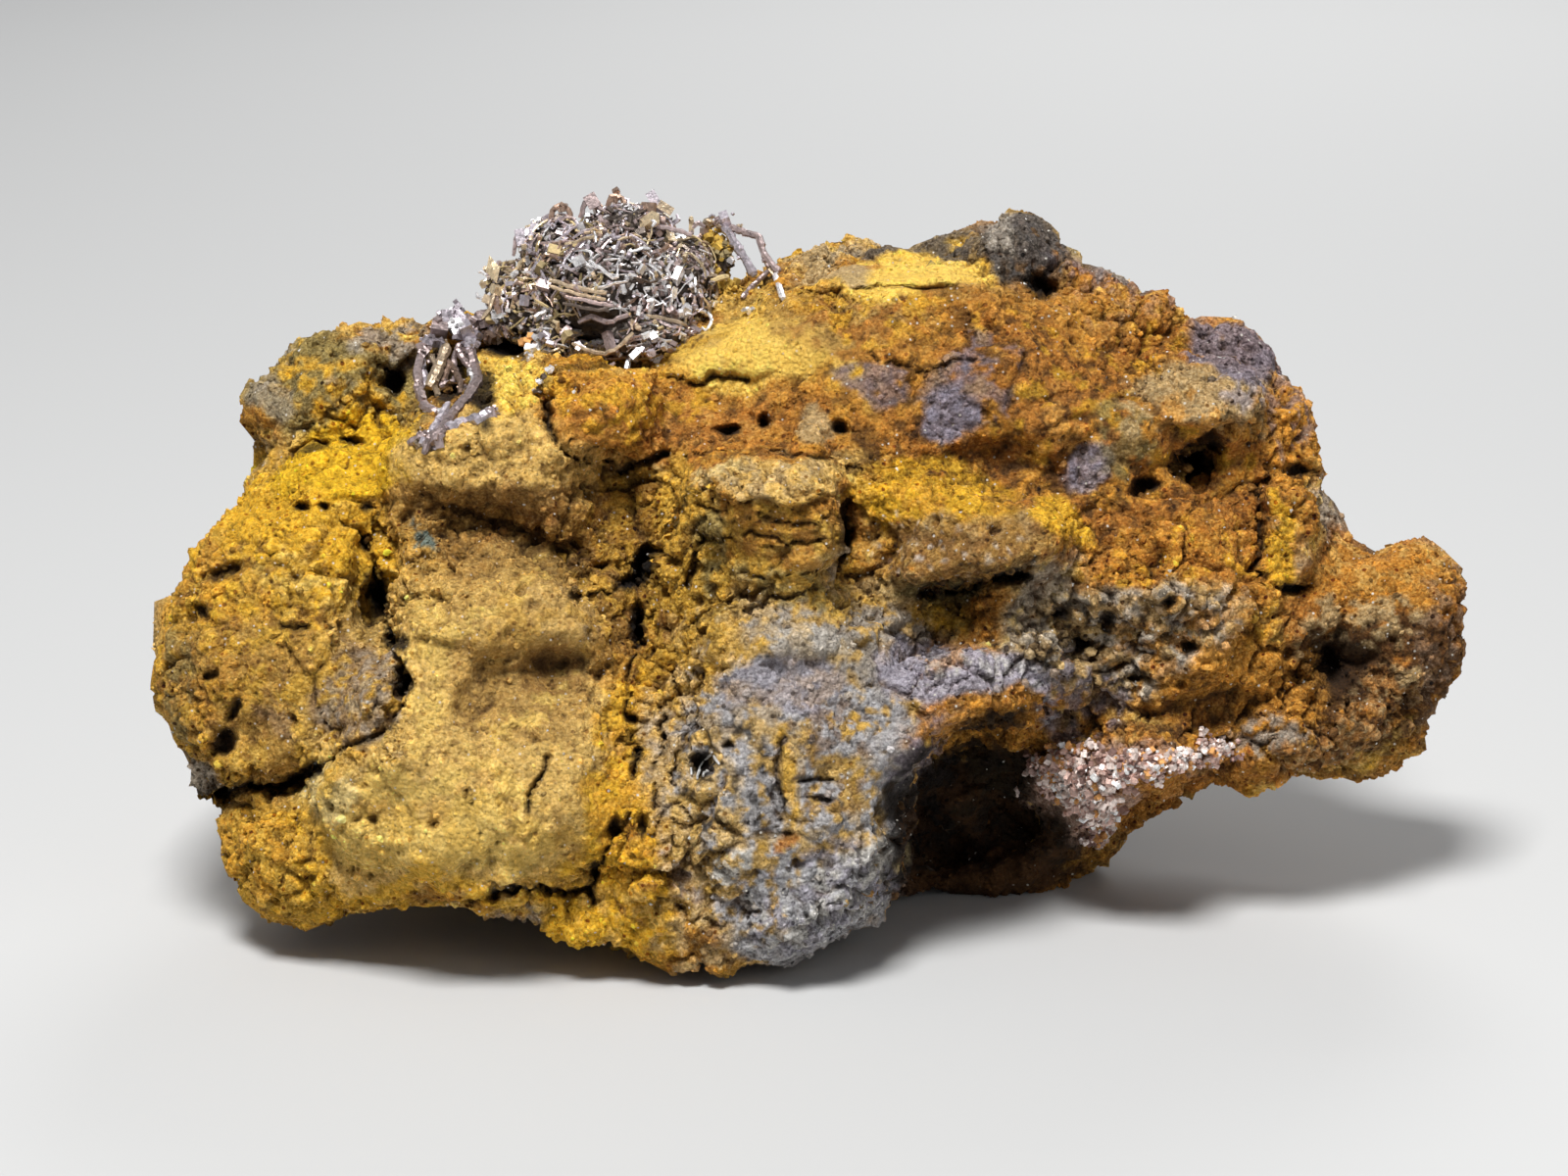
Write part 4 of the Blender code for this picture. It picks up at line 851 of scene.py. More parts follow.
def applied(obj, kind, **settings):
    """Runs one modifier on the object's mesh."""
    modifier = obj.modifiers.new(kind.lower(), kind)
    for setting, value in settings.items():
        setattr(modifier, setting, value)
    depsgraph = bpy.context.evaluated_depsgraph_get()
    mesh = bpy.data.meshes.new_from_object(obj.evaluated_get(depsgraph))
    obj.modifiers.clear()
    old, obj.data = obj.data, mesh
    bpy.data.meshes.remove(old)


def averaged(values, edges, rounds):
    """Values at vertices, each replaced by its neighbours' mean that many times."""
    counts = np.bincount(edges.ravel(), minlength=len(values))
    ends, others = np.concatenate([edges, edges[:, ::-1]]).T
    values = np.array(values, float)
    for _ in range(rounds):
        for column in range(values.shape[1]):
            sums = np.bincount(ends, values[others, column], len(values))
            values[:, column] = sums / np.maximum(counts, 1)
    return values


def paint(mesh, name, colours):
    """Colours at vertices, for the materials to read."""
    layer = mesh.attributes.new(name, "FLOAT_COLOR", "POINT")
    rgba = np.ones((len(mesh.vertices), 4))
    rgba[:, :3] = np.clip(colours, 0, 1)
    layer.data.foreach_set("color", rgba.ravel())


def store(mesh, name, values):
    """Numbers at vertices, for the materials to read."""
    layer = mesh.attributes.new(name, "FLOAT", "POINT")
    layer.data.foreach_set("value", np.asarray(values, np.float32))


def facing_camera(normals, limits=FRONT):
    """1 where the surface faces the photograph's viewpoint, 0 where it faces away."""
    return step_up(*limits, normals @ TOWARD_CAMERA)


def crumbliness(px, py, front):
    """How crumbly the rock is at places in the picture, where it faces front by that share."""
    crumbly = np.ones(len(px))
    for middle, half, amount in CRUMBLY_AREAS.values():
        inside = 1 - step_up(*CRUMBLY_FADE, reach(px, py, middle, half))
        crumbly = crumbly * (1 + inside * (amount - 1))
    return BACK_CRUMBLY + (crumbly - BACK_CRUMBLY) * front


def wobble(points):
    """Three coarse waves and a fine one, which make clods, marks and cracks ragged."""
    return np.stack([pattern(points, name) for name in (
        "shift across", "shift up", "shift of widths", "fine shift")], axis=1)


def uneven(px, py, warp):
    """The picture places shifted a little, so that lines run unevenly."""
    fine = FINE_LINE_SHIFT * warp[:, 3]
    return px + LINE_SHIFT * warp[:, 0] + fine, py + LINE_SHIFT * warp[:, 1] - fine


def rock_relief(points, normals):
    """Moves the points of the smooth rock to its lumps, clods, pits and named marks."""
    px, py = pixels_of(points)
    front = facing_camera(normals)
    crumbly = crumbliness(px, py, front)
    warp = wobble(points)
    bent = points + CLOD_SHIFT * MM * warp[:, :3]
    height = crumbly * (LUMPS * pattern(points, "lumps") + FOLDS * np.abs(pattern(bent, "folds")))
    fine_folds = FINE_FOLDS + FINE_FOLDS_WHERE_CRUMBLY * crumbly
    height += fine_folds * np.abs(pattern(bent, "fine folds"))
    height += GRIT * pattern(points, "grit")
    for size, seed, depth, edge, area, area_edge in CLOD_GAPS.values():
        gap, _, _ = cells(bent, size, seed)
        there = step_up(*area_edge, pattern(points, area))
        height -= depth * crumbly * there * step_up(*edge, gap)
    for spacing, seed, depth, share, rim in PITS.values():
        _, distance, chance = cells(bent, spacing, seed)
        height -= depth * ((chance < share * crumbly) * (1 - step_up(*rim, distance)))
    moved = points + normals * (height * MM)[:, None]
    return moved + np.outer(front * named_relief(px, py, warp), TOWARD_CAMERA) * MM


def ragged_reach(px, py, warp, middle, half, turn):
    """Distance from the middle of a mark, 1 on its ragged edge."""
    return reach(px, py, middle, half, turn) + (RAGGED * warp[:, 0] + FINE_RAGGED * warp[:, 3])


def crack_reach(bent, warp, half, line):
    """Distance from a crack, 1 at its uneven half width."""
    distance, _, _ = along_line(*bent, line)
    width = half * (CRACK_WIDTH + CRACK_WIDTH_CHANGE * warp[:, 2])
    return distance / np.maximum(width, THINNEST_CRACK)


def named_relief(px, py, warp):
    """Height in mm of the marks, cracks and ledges that have a name."""
    height = np.zeros(len(px))
    for middle, half, turn, rise, _ in MARKS.values():
        distance = ragged_reach(px, py, warp, middle, half, turn)
        height += rise * (1 - step_up(*MARK_FADE, distance))
    bent = uneven(px, py, warp)
    for half, depth, _, line in CRACKS.values():
        height -= depth * (1 - step_up(*CRACK_FADE, crack_reach(bent, warp, half, line)))
    for rise, width, line in LEDGES.values():
        distance, left, share = along_line(*bent, line)
        ends = step_up(0, LEDGE_END, share) * step_up(0, LEDGE_END, 1 - share)
        fade = 1 - step_up(0, 1, distance / width)
        height += rise * ends * fade * np.where(left, step_up(0, LEDGE_BROW, distance), 0)
    return height


def painted_shade_black(px, py, warp):
    """How black the named hollows and cracks are painted, as painted shade in them and painted
    shadow by the loops and under the nest.
    """
    dark = np.zeros(len(px))
    for middle, half, turn, _, black in MARKS.values():
        distance = ragged_reach(px, py, warp, middle, half, turn)
        dark = np.maximum(dark, black * (1 - step_up(*MARK_BLACK_FADE, distance)))
    bent = uneven(px, py, warp)
    for half, _, black, line in CRACKS.values():
        distance = crack_reach(bent, warp, half, line)
        dark = np.maximum(dark, black * (1 - step_up(*CRACK_BLACK_FADE, distance)))
    return dark


def mixed(colours, pigment, share):
    """The colours with that share of the pigment laid over each."""
    return colours + (np.array(PIGMENTS[pigment]) - colours) * np.asarray(share)[:, None]


def mottling(points, ranks):
    """The rock's colours before its patches: ochre with the pigments of MOTTLING over it."""
    right = step_up(*RIGHT_SIDE,
                    points[:, 0] / MM + RIGHT_SHIFT * pattern(points, "colour shift right"))
    low = 1 - step_up(*LOW_SIDE,
                      points[:, 2] / MM + LOW_SHIFT * pattern(points, "colour shift up"))
    sides = {"all": 1, "left": 1 - LEFT_ONLY * right, "right": right, "low": low}
    colours = np.tile(np.array(PIGMENTS["ochre"]), (len(points), 1))
    for pigment, strength, name, fade, side in MOTTLING:
        colours = mixed(colours, pigment, strength * sides[side] * step_up(*fade, ranks[name]))
    return colours


def speck_ranks(points):
    """Ranks at each point of the speck patterns, by the sizes that the patches name."""
    sizes = {specks[0] for _, _, _, _, _, *specks in PATCHES.values() if specks}
    return {size: ranked(waves(points, size, SPECK_SEED + size, SPECK_OCTAVES))
            for size in sizes}


def patched(colours, points, front, ranks):
    """The colours with the front's patches painted over them."""
    px, py = pixels_of(points)
    bent_x = (px + PATCH_SHIFT * pattern(points, "colour shift across")
              + PATCH_BEND * pattern(points, "patch bend across"))
    bent_y = (py + PATCH_SHIFT * pattern(points, "colour shift up")
              + PATCH_BEND * pattern(points, "patch bend up"))
    edge = PATCH_RAGGED * pattern(points, "patch edge")
    for middle, half, turn, pigment, strength, *specks in PATCHES.values():
        distance = reach(bent_x, bent_y, middle, half, turn) + edge
        share = strength * front * (1 - step_up(*PATCH_FADE, distance))
        if specks:
            size, cover = specks
            bare = 1 - cover
            share = share * step_up(bare - SPECK_FADE, bare + SPECK_FADE, ranks[size])
        colours = mixed(colours, pigment, share)
    return colours


def with_painted_shade(colours, points, normals, edges):
    """The colours darkened in the hollows as painted shade, and lightened on the ridges as painted
    light.
    """
    near_mean = averaged(points, edges, NEAR_ROUNDS)
    wide_mean = averaged(near_mean, edges, WIDE_ROUNDS)
    near = np.einsum("ij,ij->i", near_mean - points, normals) / MM
    wide = np.einsum("ij,ij->i", wide_mean - points, normals) / MM
    # Painted shade: hollows are darkened towards dark brown, and ridges are lightened as painted
    # light
    painted_shade = HOLLOW_SHADE * step_up(*NEAR_HOLLOW, near) + HOLLOW_SHADE * step_up(*WIDE_HOLLOW, wide)
    colours = mixed(colours, "dark brown", np.clip(painted_shade, 0, MOST_SHADE))
    return colours * (1 + RIDGE_LIGHT * step_up(*RIDGE, -near))[:, None]


def rock_colours(mesh):
    """The rock's colour at each vertex: mottling, the front's patches, painted shade in the
    hollows, painted light on the ridges, and black painted shade in the named hollows and cracks.
    """
    points, normals, edges = points_of(mesh), normals_of(mesh), edges_of(mesh)
    front = facing_camera(normals, PAINTED_FRONT)
    ranks = speck_ranks(points)
    for name in ("broad colours", "rust colours", "grey colours"):
        ranks[name] = ranked(pattern(points, name))
    ranks["broad colours, turned"] = 1 - ranks["broad colours"]
    colours = patched(mottling(points, ranks), points, front, ranks)
    colours = with_painted_shade(colours, points, normals, edges)
    # The named hollows and cracks are painted black as painted shade
    return mixed(colours, "black", front * painted_shade_black(*pixels_of(points), wobble(points)))


def rock():
    """The limonite, as a fine mesh over its solid."""
    obj = linked("limonite_rock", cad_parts["limonite_matrix"].data.copy())
    obj.data.materials.clear()
    applied(obj, "REMESH", mode="VOXEL", voxel_size=COARSE_VOXEL * MM)
    applied(obj, "SMOOTH", factor=0.5, iterations=SMOOTHING)
    applied(obj, "REMESH", mode="VOXEL", voxel_size=FINE_VOXEL * MM)
    points, normals = points_of(obj.data), normals_of(obj.data)
    moved = rock_relief(points, normals)
    moved[:, 2] = np.maximum(moved[:, 2], 0)
    set_points(obj.data, moved)
    group = obj.vertex_groups.new(name="thrift")
    thrift = np.round(1 - BACK_THRIFT * facing_camera(normals), 1)
    for amount in np.unique(thrift):
        group.add(np.flatnonzero(thrift == amount).tolist(), float(amount), "REPLACE")
    applied(obj, "DECIMATE", ratio=ROCK_TRIANGLES / len(triangles_of(obj.data)),
            vertex_group=group.name, vertex_group_factor=THRIFT_WEIGHT,
            use_collapse_triangulate=True)
    obj.vertex_groups.clear()
    obj.data.polygons.foreach_set("use_smooth", np.ones(len(obj.data.polygons), bool))
    paint(obj.data, "pigment", rock_colours(obj.data))
    px, py = pixels_of(points_of(obj.data))
    grit = crumbliness(px, py, facing_camera(normals_of(obj.data))) ** GRIT_POWER
    lit = step_up(*GRIT_LIT, colours_of(obj.data).mean(axis=1))
    store(obj.data, "grit", np.minimum(grit, 1) * lit)
    return obj


def ball(kind):
    """Unit vertices and triangles of a small solid: an octahedron, an icosahedron or a box."""
    if kind == "octahedron":
        verts = np.vstack([np.eye(3), -np.eye(3)])
        faces = [(0, 1, 2), (1, 3, 2), (3, 4, 2), (4, 0, 2), (1, 0, 5), (3, 1, 5), (4, 3, 5),
                 (0, 4, 5)]
    elif kind == "icosahedron":
        long = (1 + math.sqrt(5)) / 2
        verts = np.array([(-1, long, 0), (1, long, 0), (-1, -long, 0), (1, -long, 0),
                          (0, -1, long), (0, 1, long), (0, -1, -long), (0, 1, -long),
                          (long, 0, -1), (long, 0, 1), (-long, 0, -1), (-long, 0, 1)])
        verts = verts / math.hypot(1, long)
        faces = [(0, 11, 5), (0, 5, 1), (0, 1, 7), (0, 7, 10), (0, 10, 11), (1, 5, 9),
                 (5, 11, 4), (11, 10, 2), (10, 7, 6), (7, 1, 8), (3, 9, 4), (3, 4, 2),
                 (3, 2, 6), (3, 6, 8), (3, 8, 9), (4, 9, 5), (2, 4, 11), (6, 2, 10),
                 (8, 6, 7), (9, 8, 1)]
    else:
        verts = np.array([(x, y, z) for x in (-1, 1) for y in (-1, 1) for z in (-1, 1)], float)
        faces = [(0, 1, 3), (0, 3, 2), (4, 6, 7), (4, 7, 5), (0, 4, 5), (0, 5, 1), (2, 3, 7),
                 (2, 7, 6), (0, 2, 6), (0, 6, 4), (1, 5, 7), (1, 7, 3)]
    return verts, np.array(faces)


def random_turns(rng, count):
    """Random rotation matrices."""
    q = rng.normal(size=(count, 4))
    w, x, y, z = (q / np.linalg.norm(q, axis=1)[:, None]).T
    return np.stack([
        np.stack([1 - 2 * (y * y + z * z), 2 * (x * y - z * w), 2 * (x * z + y * w)], -1),
        np.stack([2 * (x * y + z * w), 1 - 2 * (x * x + z * z), 2 * (y * z - x * w)], -1),
        np.stack([2 * (x * z - y * w), 2 * (y * z + x * w), 1 - 2 * (x * x + y * y)], -1),
    ], 1)


def mesh_from(name, points, faces):
    """A mesh of flat triangles."""
    mesh = bpy.data.meshes.new(name)
    mesh.vertices.add(len(points))
    mesh.vertices.foreach_set("co", points.ravel())
    mesh.loops.add(faces.size)
    mesh.loops.foreach_set("vertex_index", faces.ravel().astype(np.int32))
    mesh.polygons.add(len(faces))
    mesh.polygons.foreach_set("loop_start", np.arange(0, faces.size, 3, dtype=np.int32))
    mesh.polygons.foreach_set("use_smooth", np.zeros(len(faces), bool))
    mesh.update(calc_edges=True)
    return mesh


def grains(name, rock_obj, rng, count, kind, half_sizes, front_share, white_share):
    """Small stones set into the rock's surface, coloured after the rock under them."""
    mesh = rock_obj.data
    points, colours, corners = points_of(mesh), colours_of(mesh), triangles_of(mesh)
    a, b, c = (points[corners[:, k]] for k in range(3))
    cross = np.cross(b - a, c - a)
    area = np.linalg.norm(cross, axis=1)
    normals = cross / np.maximum(area, TINY)[:, None]
    px, py = pixels_of((a + b + c) / 3)
    front = facing_camera(normals)
    rough = GRAINS_ANYWHERE + (1 - GRAINS_ANYWHERE) * crumbliness(px, py, front)
    chance = area * rough * (1 - front + (2 * front - 1) * front_share)
    picked = rng.choice(len(corners), count, p=chance / chance.sum())
    shares = rng.dirichlet((1, 1, 1), count)
    spots = np.einsum("ij,ijk->ik", shares, points[corners[picked]])
    shade = np.einsum("ij,ijk->ik", shares, colours[corners[picked]])
    verts, faces = ball(kind)
    low, high = half_sizes
    size = low + (high - low) * rng.random(count) ** SMALL_GRAINS
    size = size * (FIRM_SIZE + CRUMBLY_SIZE * rough[picked])
    shape = rng.uniform(*GRAIN_PROPORTIONS, (count, 1, 3)) * size[:, None, None] * MM
    lumpy = verts[None] * rng.uniform(*GRAIN_LUMPS, (count, len(verts), 1)) * shape
    turned = np.einsum("nij,nvj->nvi", random_turns(rng, count), lumpy)
    sunk = spots - normals[picked] * (GRAIN_SUNK * size * MM)[:, None]
    made = turned + sunk[:, None]
    made[..., 2] = np.maximum(made[..., 2], 0)
    corners_made = faces[None] + np.arange(count)[:, None, None] * len(verts)
    obj = linked(name, mesh_from(name, made.reshape(-1, 3), corners_made.reshape(-1, 3)))
    tone = rng.normal(*GRAIN_TONE, (count, 1)).clip(*GRAIN_TONE_LIMITS)
    pale = (rng.random(count) < white_share)[:, None]
    shade = np.where(pale, np.array(PIGMENTS["white"]), shade * tone)
    paint(obj.data, "pigment", np.repeat(shade, len(verts), axis=0))
    store(obj.data, "grit", np.full(len(obj.data.vertices), GRAIN_GRIT))
    return obj


class Heap:
    """Small closed solids that are gathered into one mesh."""

    def __init__(self, brightness=1.0):
        self.points, self.faces, self.tints, self.dust = [], [], [], []
        self.count = 0
        self.brightness = brightness

    def add(self, points, faces, tint, lightness=1.0):
        self.points.append(points)
        self.faces.append(faces + self.count)
        colour = np.array(TINTS[tint]) * lightness * self.brightness
        self.tints.append(np.tile(colour, (len(points), 1)))
        self.dust.append(np.full(len(points), DUST if tint in DUSTY else 0.0))
        self.count += len(points)

    def object(self, name):
        mesh = mesh_from(name, np.vstack(self.points), np.vstack(self.faces))
        paint(mesh, "pigment", np.vstack(self.tints))
        store(mesh, "dust", np.concatenate(self.dust))
        return linked(name, mesh)


def tube(points, half_widths, sides):
    """A closed tube along points, in metres."""
    count = len(points)
    forward = np.gradient(points, axis=0)
    forward /= np.linalg.norm(forward, axis=1)[:, None] + TINY
    side = np.cross(forward[0], OBLIQUE)
    rings = []
    angles = np.linspace(0, 2 * math.pi, sides, endpoint=False)
    for k in range(count):
        side = unit(side - forward[k] * (side @ forward[k]))
        up = np.cross(forward[k], side)
        rings.append(points[k] + half_widths[k] * (
            np.outer(np.cos(angles), side) + np.outer(np.sin(angles), up)))
    verts = np.vstack([*rings, points[:1], points[-1:]])
    faces = []
    for k in range(count - 1):
        for s in range(sides):
            here, there = k * sides + s, k * sides + (s + 1) % sides
            faces += [(here, there, there + sides), (here, there + sides, here + sides)]
    start, end = count * sides, count * sides + 1
    last = (count - 1) * sides
    for s in range(sides):
        faces += [(start, (s + 1) % sides, s), (end, last + s, last + (s + 1) % sides)]
    return verts, np.array(faces)


def kinked(rng, points, step, jitter):
    """A line in millimetres with points about step apart, each moved a little at random."""
    points = np.asarray(points, float)
    lengths = np.linalg.norm(np.diff(points, axis=0), axis=1)
    along = np.concatenate([[0], np.cumsum(lengths)])
    count = max(2, int(along[-1] / step) + 1)
    marks = np.linspace(0, along[-1], count)
    line = np.stack([np.interp(marks, along, points[:, k]) for k in range(3)], axis=1)
    return line + rng.normal(0, jitter, line.shape)


def add_wire(heap, rng, line, half_width, tint, step=WIRE_STEP, jitter=WIRE_JITTER,
             sides=WIRE_SIDES):
    """A wire of small crystals end to end along a line of (across, up, near)."""
    path = kinked(rng, line, step, jitter)
    widths = half_width * rng.uniform(*WIRE_WIDTHS, len(path))
    widths[[0, -1]] *= WIRE_END
    verts, faces = tube(place(*path.T), widths * MM, sides)
    heap.add(verts, faces, tint, rng.uniform(*WIRE_LIGHTNESS))


def add_block(heap, rng, spot, half_size, tint, kind="box", stretch=1.0):
    """A small crystal at a spot given as (across, up, near)."""
    verts, faces = ball(kind)
    shape = half_size * rng.uniform(*BLOCK_SHAPE, 3) * (1, 1, stretch) * MM
    turned = (verts * shape) @ random_turns(rng, 1)[0].T
    heap.add(turned + place(*spot), faces, tint, rng.uniform(*BLOCK_LIGHTNESS))


def add_cluster(heap, rng, middle, count, spread, half_size, tint):
    """Small crystals scattered round a middle."""
    for _ in range(count):
        add_block(heap, rng, middle + rng.normal(0, spread, 3), half_size, tint)


def add_flake(heap, point, half, turn, tint, kind):
    """A crystal of given half sizes across, up and near, turned in the picture by degrees."""
    verts, faces = ball(kind)
    x, y, z = (verts * half).T
    angle = math.radians(turn)
    across, up, near = pixel_line([point])[0]
    heap.add(place(across + x * math.cos(angle) - y * math.sin(angle),
                   up + x * math.sin(angle) + y * math.cos(angle), near + z), faces, tint)


def unit(vector):
    """The vector with a length of 1."""
    return vector / (np.linalg.norm(vector) + TINY)


def nest_tint(rng, spot):
    """A colour for a wire or crystal of the nest, after where it is."""
    px, py = pixel_of(spot)
    silvery = SILVER_THERE if reach(px, py, *NEST_SILVER) < 1 else SILVER_ELSEWHERE
    if px > RIGHT_DUST[0] and py > RIGHT_DUST[1]:
        dusty = RIGHT_DUST[2]
    elif px < LEFT_DUST[0] and py > LEFT_DUST[1]:
        dusty = LEFT_DUST[2]
    else:
        dusty = DUST_ELSEWHERE
    roll = rng.random()
    if roll < silvery:
        return "silver"
    return rng.choice(NEST_DUST if roll < silvery + dusty else NEST_TINTS)


def in_gap(spot, near=-math.inf):
    """Whether a spot that is nearer than that shows in a gap of the nest."""
    px, py = pixel_of(spot)
    return spot[2] > near and any(reach(px, py, *gap) < 1 for gap in NEST_GAPS)


def nest_spot(rng):
    """A lump of the nest and a random direction from its middle."""
    lumps = list(NEST_LUMPS.values())
    sizes = np.array([half[0] * half[1] for _, half in lumps])
    middle, half = lumps[rng.choice(len(lumps), p=sizes / sizes.sum())]
    return np.array(middle), np.array(half), unit(rng.normal(size=3))


def crawling_line(rng):
    """A line that winds over the nest's skin, with a few sharp kinks."""
    middle, half, out = nest_spot(rng)
    layer = rng.uniform(*CRAWL_LAYER)
    heading = unit(np.cross(out, rng.normal(size=3)))
    line = []
    for _ in range(int(rng.integers(*CRAWL_POINTS))):
        line.append(middle + half * out * layer)
        turn = rng.normal(0, CRAWL_TURN) + (rng.random() < KINK_CHANCE) * rng.choice(KINK_TURNS)
        heading = unit(heading * math.cos(turn) + np.cross(out, heading) * math.sin(turn))
        out = unit(out + heading * CRAWL_STEP / half.mean())
        heading = unit(heading - out * (heading @ out))
        layer = np.clip(layer + rng.normal(0, LAYER_WANDER), *CRAWL_LIMITS)
    return np.array(line)


def hook_line(rng):
    """A short wire that stands out of the nest and curls over."""
    middle, half, out = nest_spot(rng)
    lean = unit(np.cross(out, rng.normal(size=3)))
    root = middle + half * out * HOOK_ROOT
    rise, curl = rng.uniform(*HOOK_RISE), rng.uniform(*HOOK_CURL)
    return np.array([root + out * rise * up + lean * curl * over for up, over in HOOK_SHAPE])


def nest_core():
    """The dark inside of the nest, painted dark as the shade within the tangle: its lumps drawn in
    and roughened, as one skin.
    """
    made = []
    for middle, half in NEST_LUMPS.values():
        bpy.ops.mesh.primitive_uv_sphere_add(segments=32, ring_count=16)
        part = bpy.context.object
        spots = np.array(middle) + points_of(part.data) * np.array(half) * CORE_SIZE
        set_points(part.data, place(*spots.T))
        made.append(part)
    bpy.ops.object.select_all(action="DESELECT")
    for part in made:
        part.select_set(True)
    core = made[0]
    bpy.context.view_layer.objects.active = core
    bpy.ops.object.join()
    applied(core, "REMESH", mode="VOXEL", voxel_size=CORE_VOXEL * MM)
    points, normals = points_of(core.data), normals_of(core.data)
    rough = CORE_ROUGHNESS * pattern(points, "nest core")
    set_points(core.data, points + normals * (rough * MM)[:, None])
    verts, faces = points_of(core.data), triangles_of(core.data)
    bpy.data.objects.remove(core)
    return verts, faces


# Wires of the nest that show singly: half width in mm, tint, and points as pixel and near in mm
NEST_LINES = [
    (0.10, "tan", [(560, 286, -0.2), (590, 294, -0.1), (620, 300, -0.2)]),
    (0.08, "tan", [(560, 292, -0.2), (590, 300, -0.1), (618, 306, -0.2)]),
    (0.09, "mauve", [(577, 303, -0.1), (602, 308, 0.0), (626, 312, -0.1)]),
    (0.08, "dark", [(574, 309, -0.1), (600, 315, 0.0), (622, 318, -0.1)]),
    (0.09, "tan", [(584, 350, -0.2), (600, 358, 0.0), (618, 361, 0.1), (632, 354, 0.1),
                   (646, 340, 0.0)]),
    (0.08, "mauve", [(562, 365, -0.3), (580, 373, -0.1), (600, 379, 0.0), (618, 379, 0.1),
                     (628, 370, 0.1)]),
    (0.10, "mauve", [(655, 228, -2.6), (680, 232, -2.4), (706, 240, -2.4)]),
    (0.07, "silver", [(722, 318, -1.8), (727, 328, -1.6), (722, 338, -1.5), (716, 334, -1.6)]),
    (0.10, "tan", [(504, 300, -2.2), (500, 314, -2.0), (493, 326, -1.9)]),
    (0.11, "mauve", [(590, 330, -0.6), (604, 322, -0.4), (620, 330, -0.4), (640, 322, -0.4)]),
    (0.12, "brown", [(562, 226, -3.4), (564, 214, -3.4), (574, 208, -3.4), (582, 216, -3.4),
                     (580, 228, -3.4)]),
    (0.13, "mauve", [(592, 222, -3.4), (598, 206, -3.4), (608, 204, -3.4), (614, 216, -3.4)]),
    (0.12, "brown", [(618, 216, -3.6), (624, 200, -3.6), (634, 202, -3.6), (640, 212, -3.6)]),
    (0.10, "mauve", [(524, 262, -3.2), (526, 244, -3.2), (532, 236, -3.2)]),
    (0.12, "lilac", [(540, 258, -3.0), (544, 240, -3.0)]),
    (0.09, "tan", [(660, 322, -0.8), (684, 326, -0.9), (700, 332, -1.0)]),
]
# Crystals of the nest that show singly: pixel and near, half size in mm, tint
NEST_BLOCKS = [
    ((572, 212, -3.3), 0.16, "brown"), ((628, 201, -3.6), 0.20, "brown"),
    ((545, 352, -0.9), 0.26, "silver"), ((556, 345, -0.7), 0.24, "lilac"),
    ((540, 366, -0.8), 0.2, "silver"), ((666, 346, -0.4), 0.28, "silver"),
    ((660, 358, -0.3), 0.22, "lilac"), ((700, 316, -1.2), 0.24, "silver"),
    ((556, 384, -0.4), 0.18, "dark"), ((552, 391, -0.3), 0.16, "silver"),
    ((561, 376, -0.5), 0.16, "silver"), ((548, 398, -0.3), 0.14, "dark"),
    ((536, 350, -1.3), 0.24, "orange"), ((590, 356, -0.3), 0.2, "lilac"),
]
# Each is a cluster: how many crystals, how far they stray and their half size, as shares of its
# half size
NEST_BLOCK_COUNT = 5
NEST_BLOCK_SPREAD = 0.5
NEST_BLOCK_PART = 0.55
# Its flakes: pixel and near, half sizes across, up and near in mm, turn in degrees, tint, kind
NEST_FLAKES = [
    ((503, 275, -2.4), (0.30, 0.60, 0.10), 14, "pale tan", "octahedron"),
    ((531, 242, -3.0), (0.20, 0.34, 0.14), 12, "lilac", "box"),
    ((543, 236, -3.0), (0.13, 0.36, 0.12), -14, "lilac", "box"),
    ((604, 205, -3.4), (0.26, 0.30, 0.18), 30, "mauve", "box"),
    ((667, 203, -3.4), (0.20, 0.34, 0.12), 30, "lilac", "box"),
    ((679, 212, -3.4), (0.34, 0.18, 0.12), -32, "tan", "box"),
]


def pixel_line(points):
    """(across, up, near) of points given as pixel and near."""
    px, py, near = np.array(points, float).T
    across, up = plane_of(px, py)
    return np.stack([across, up, near], axis=1)


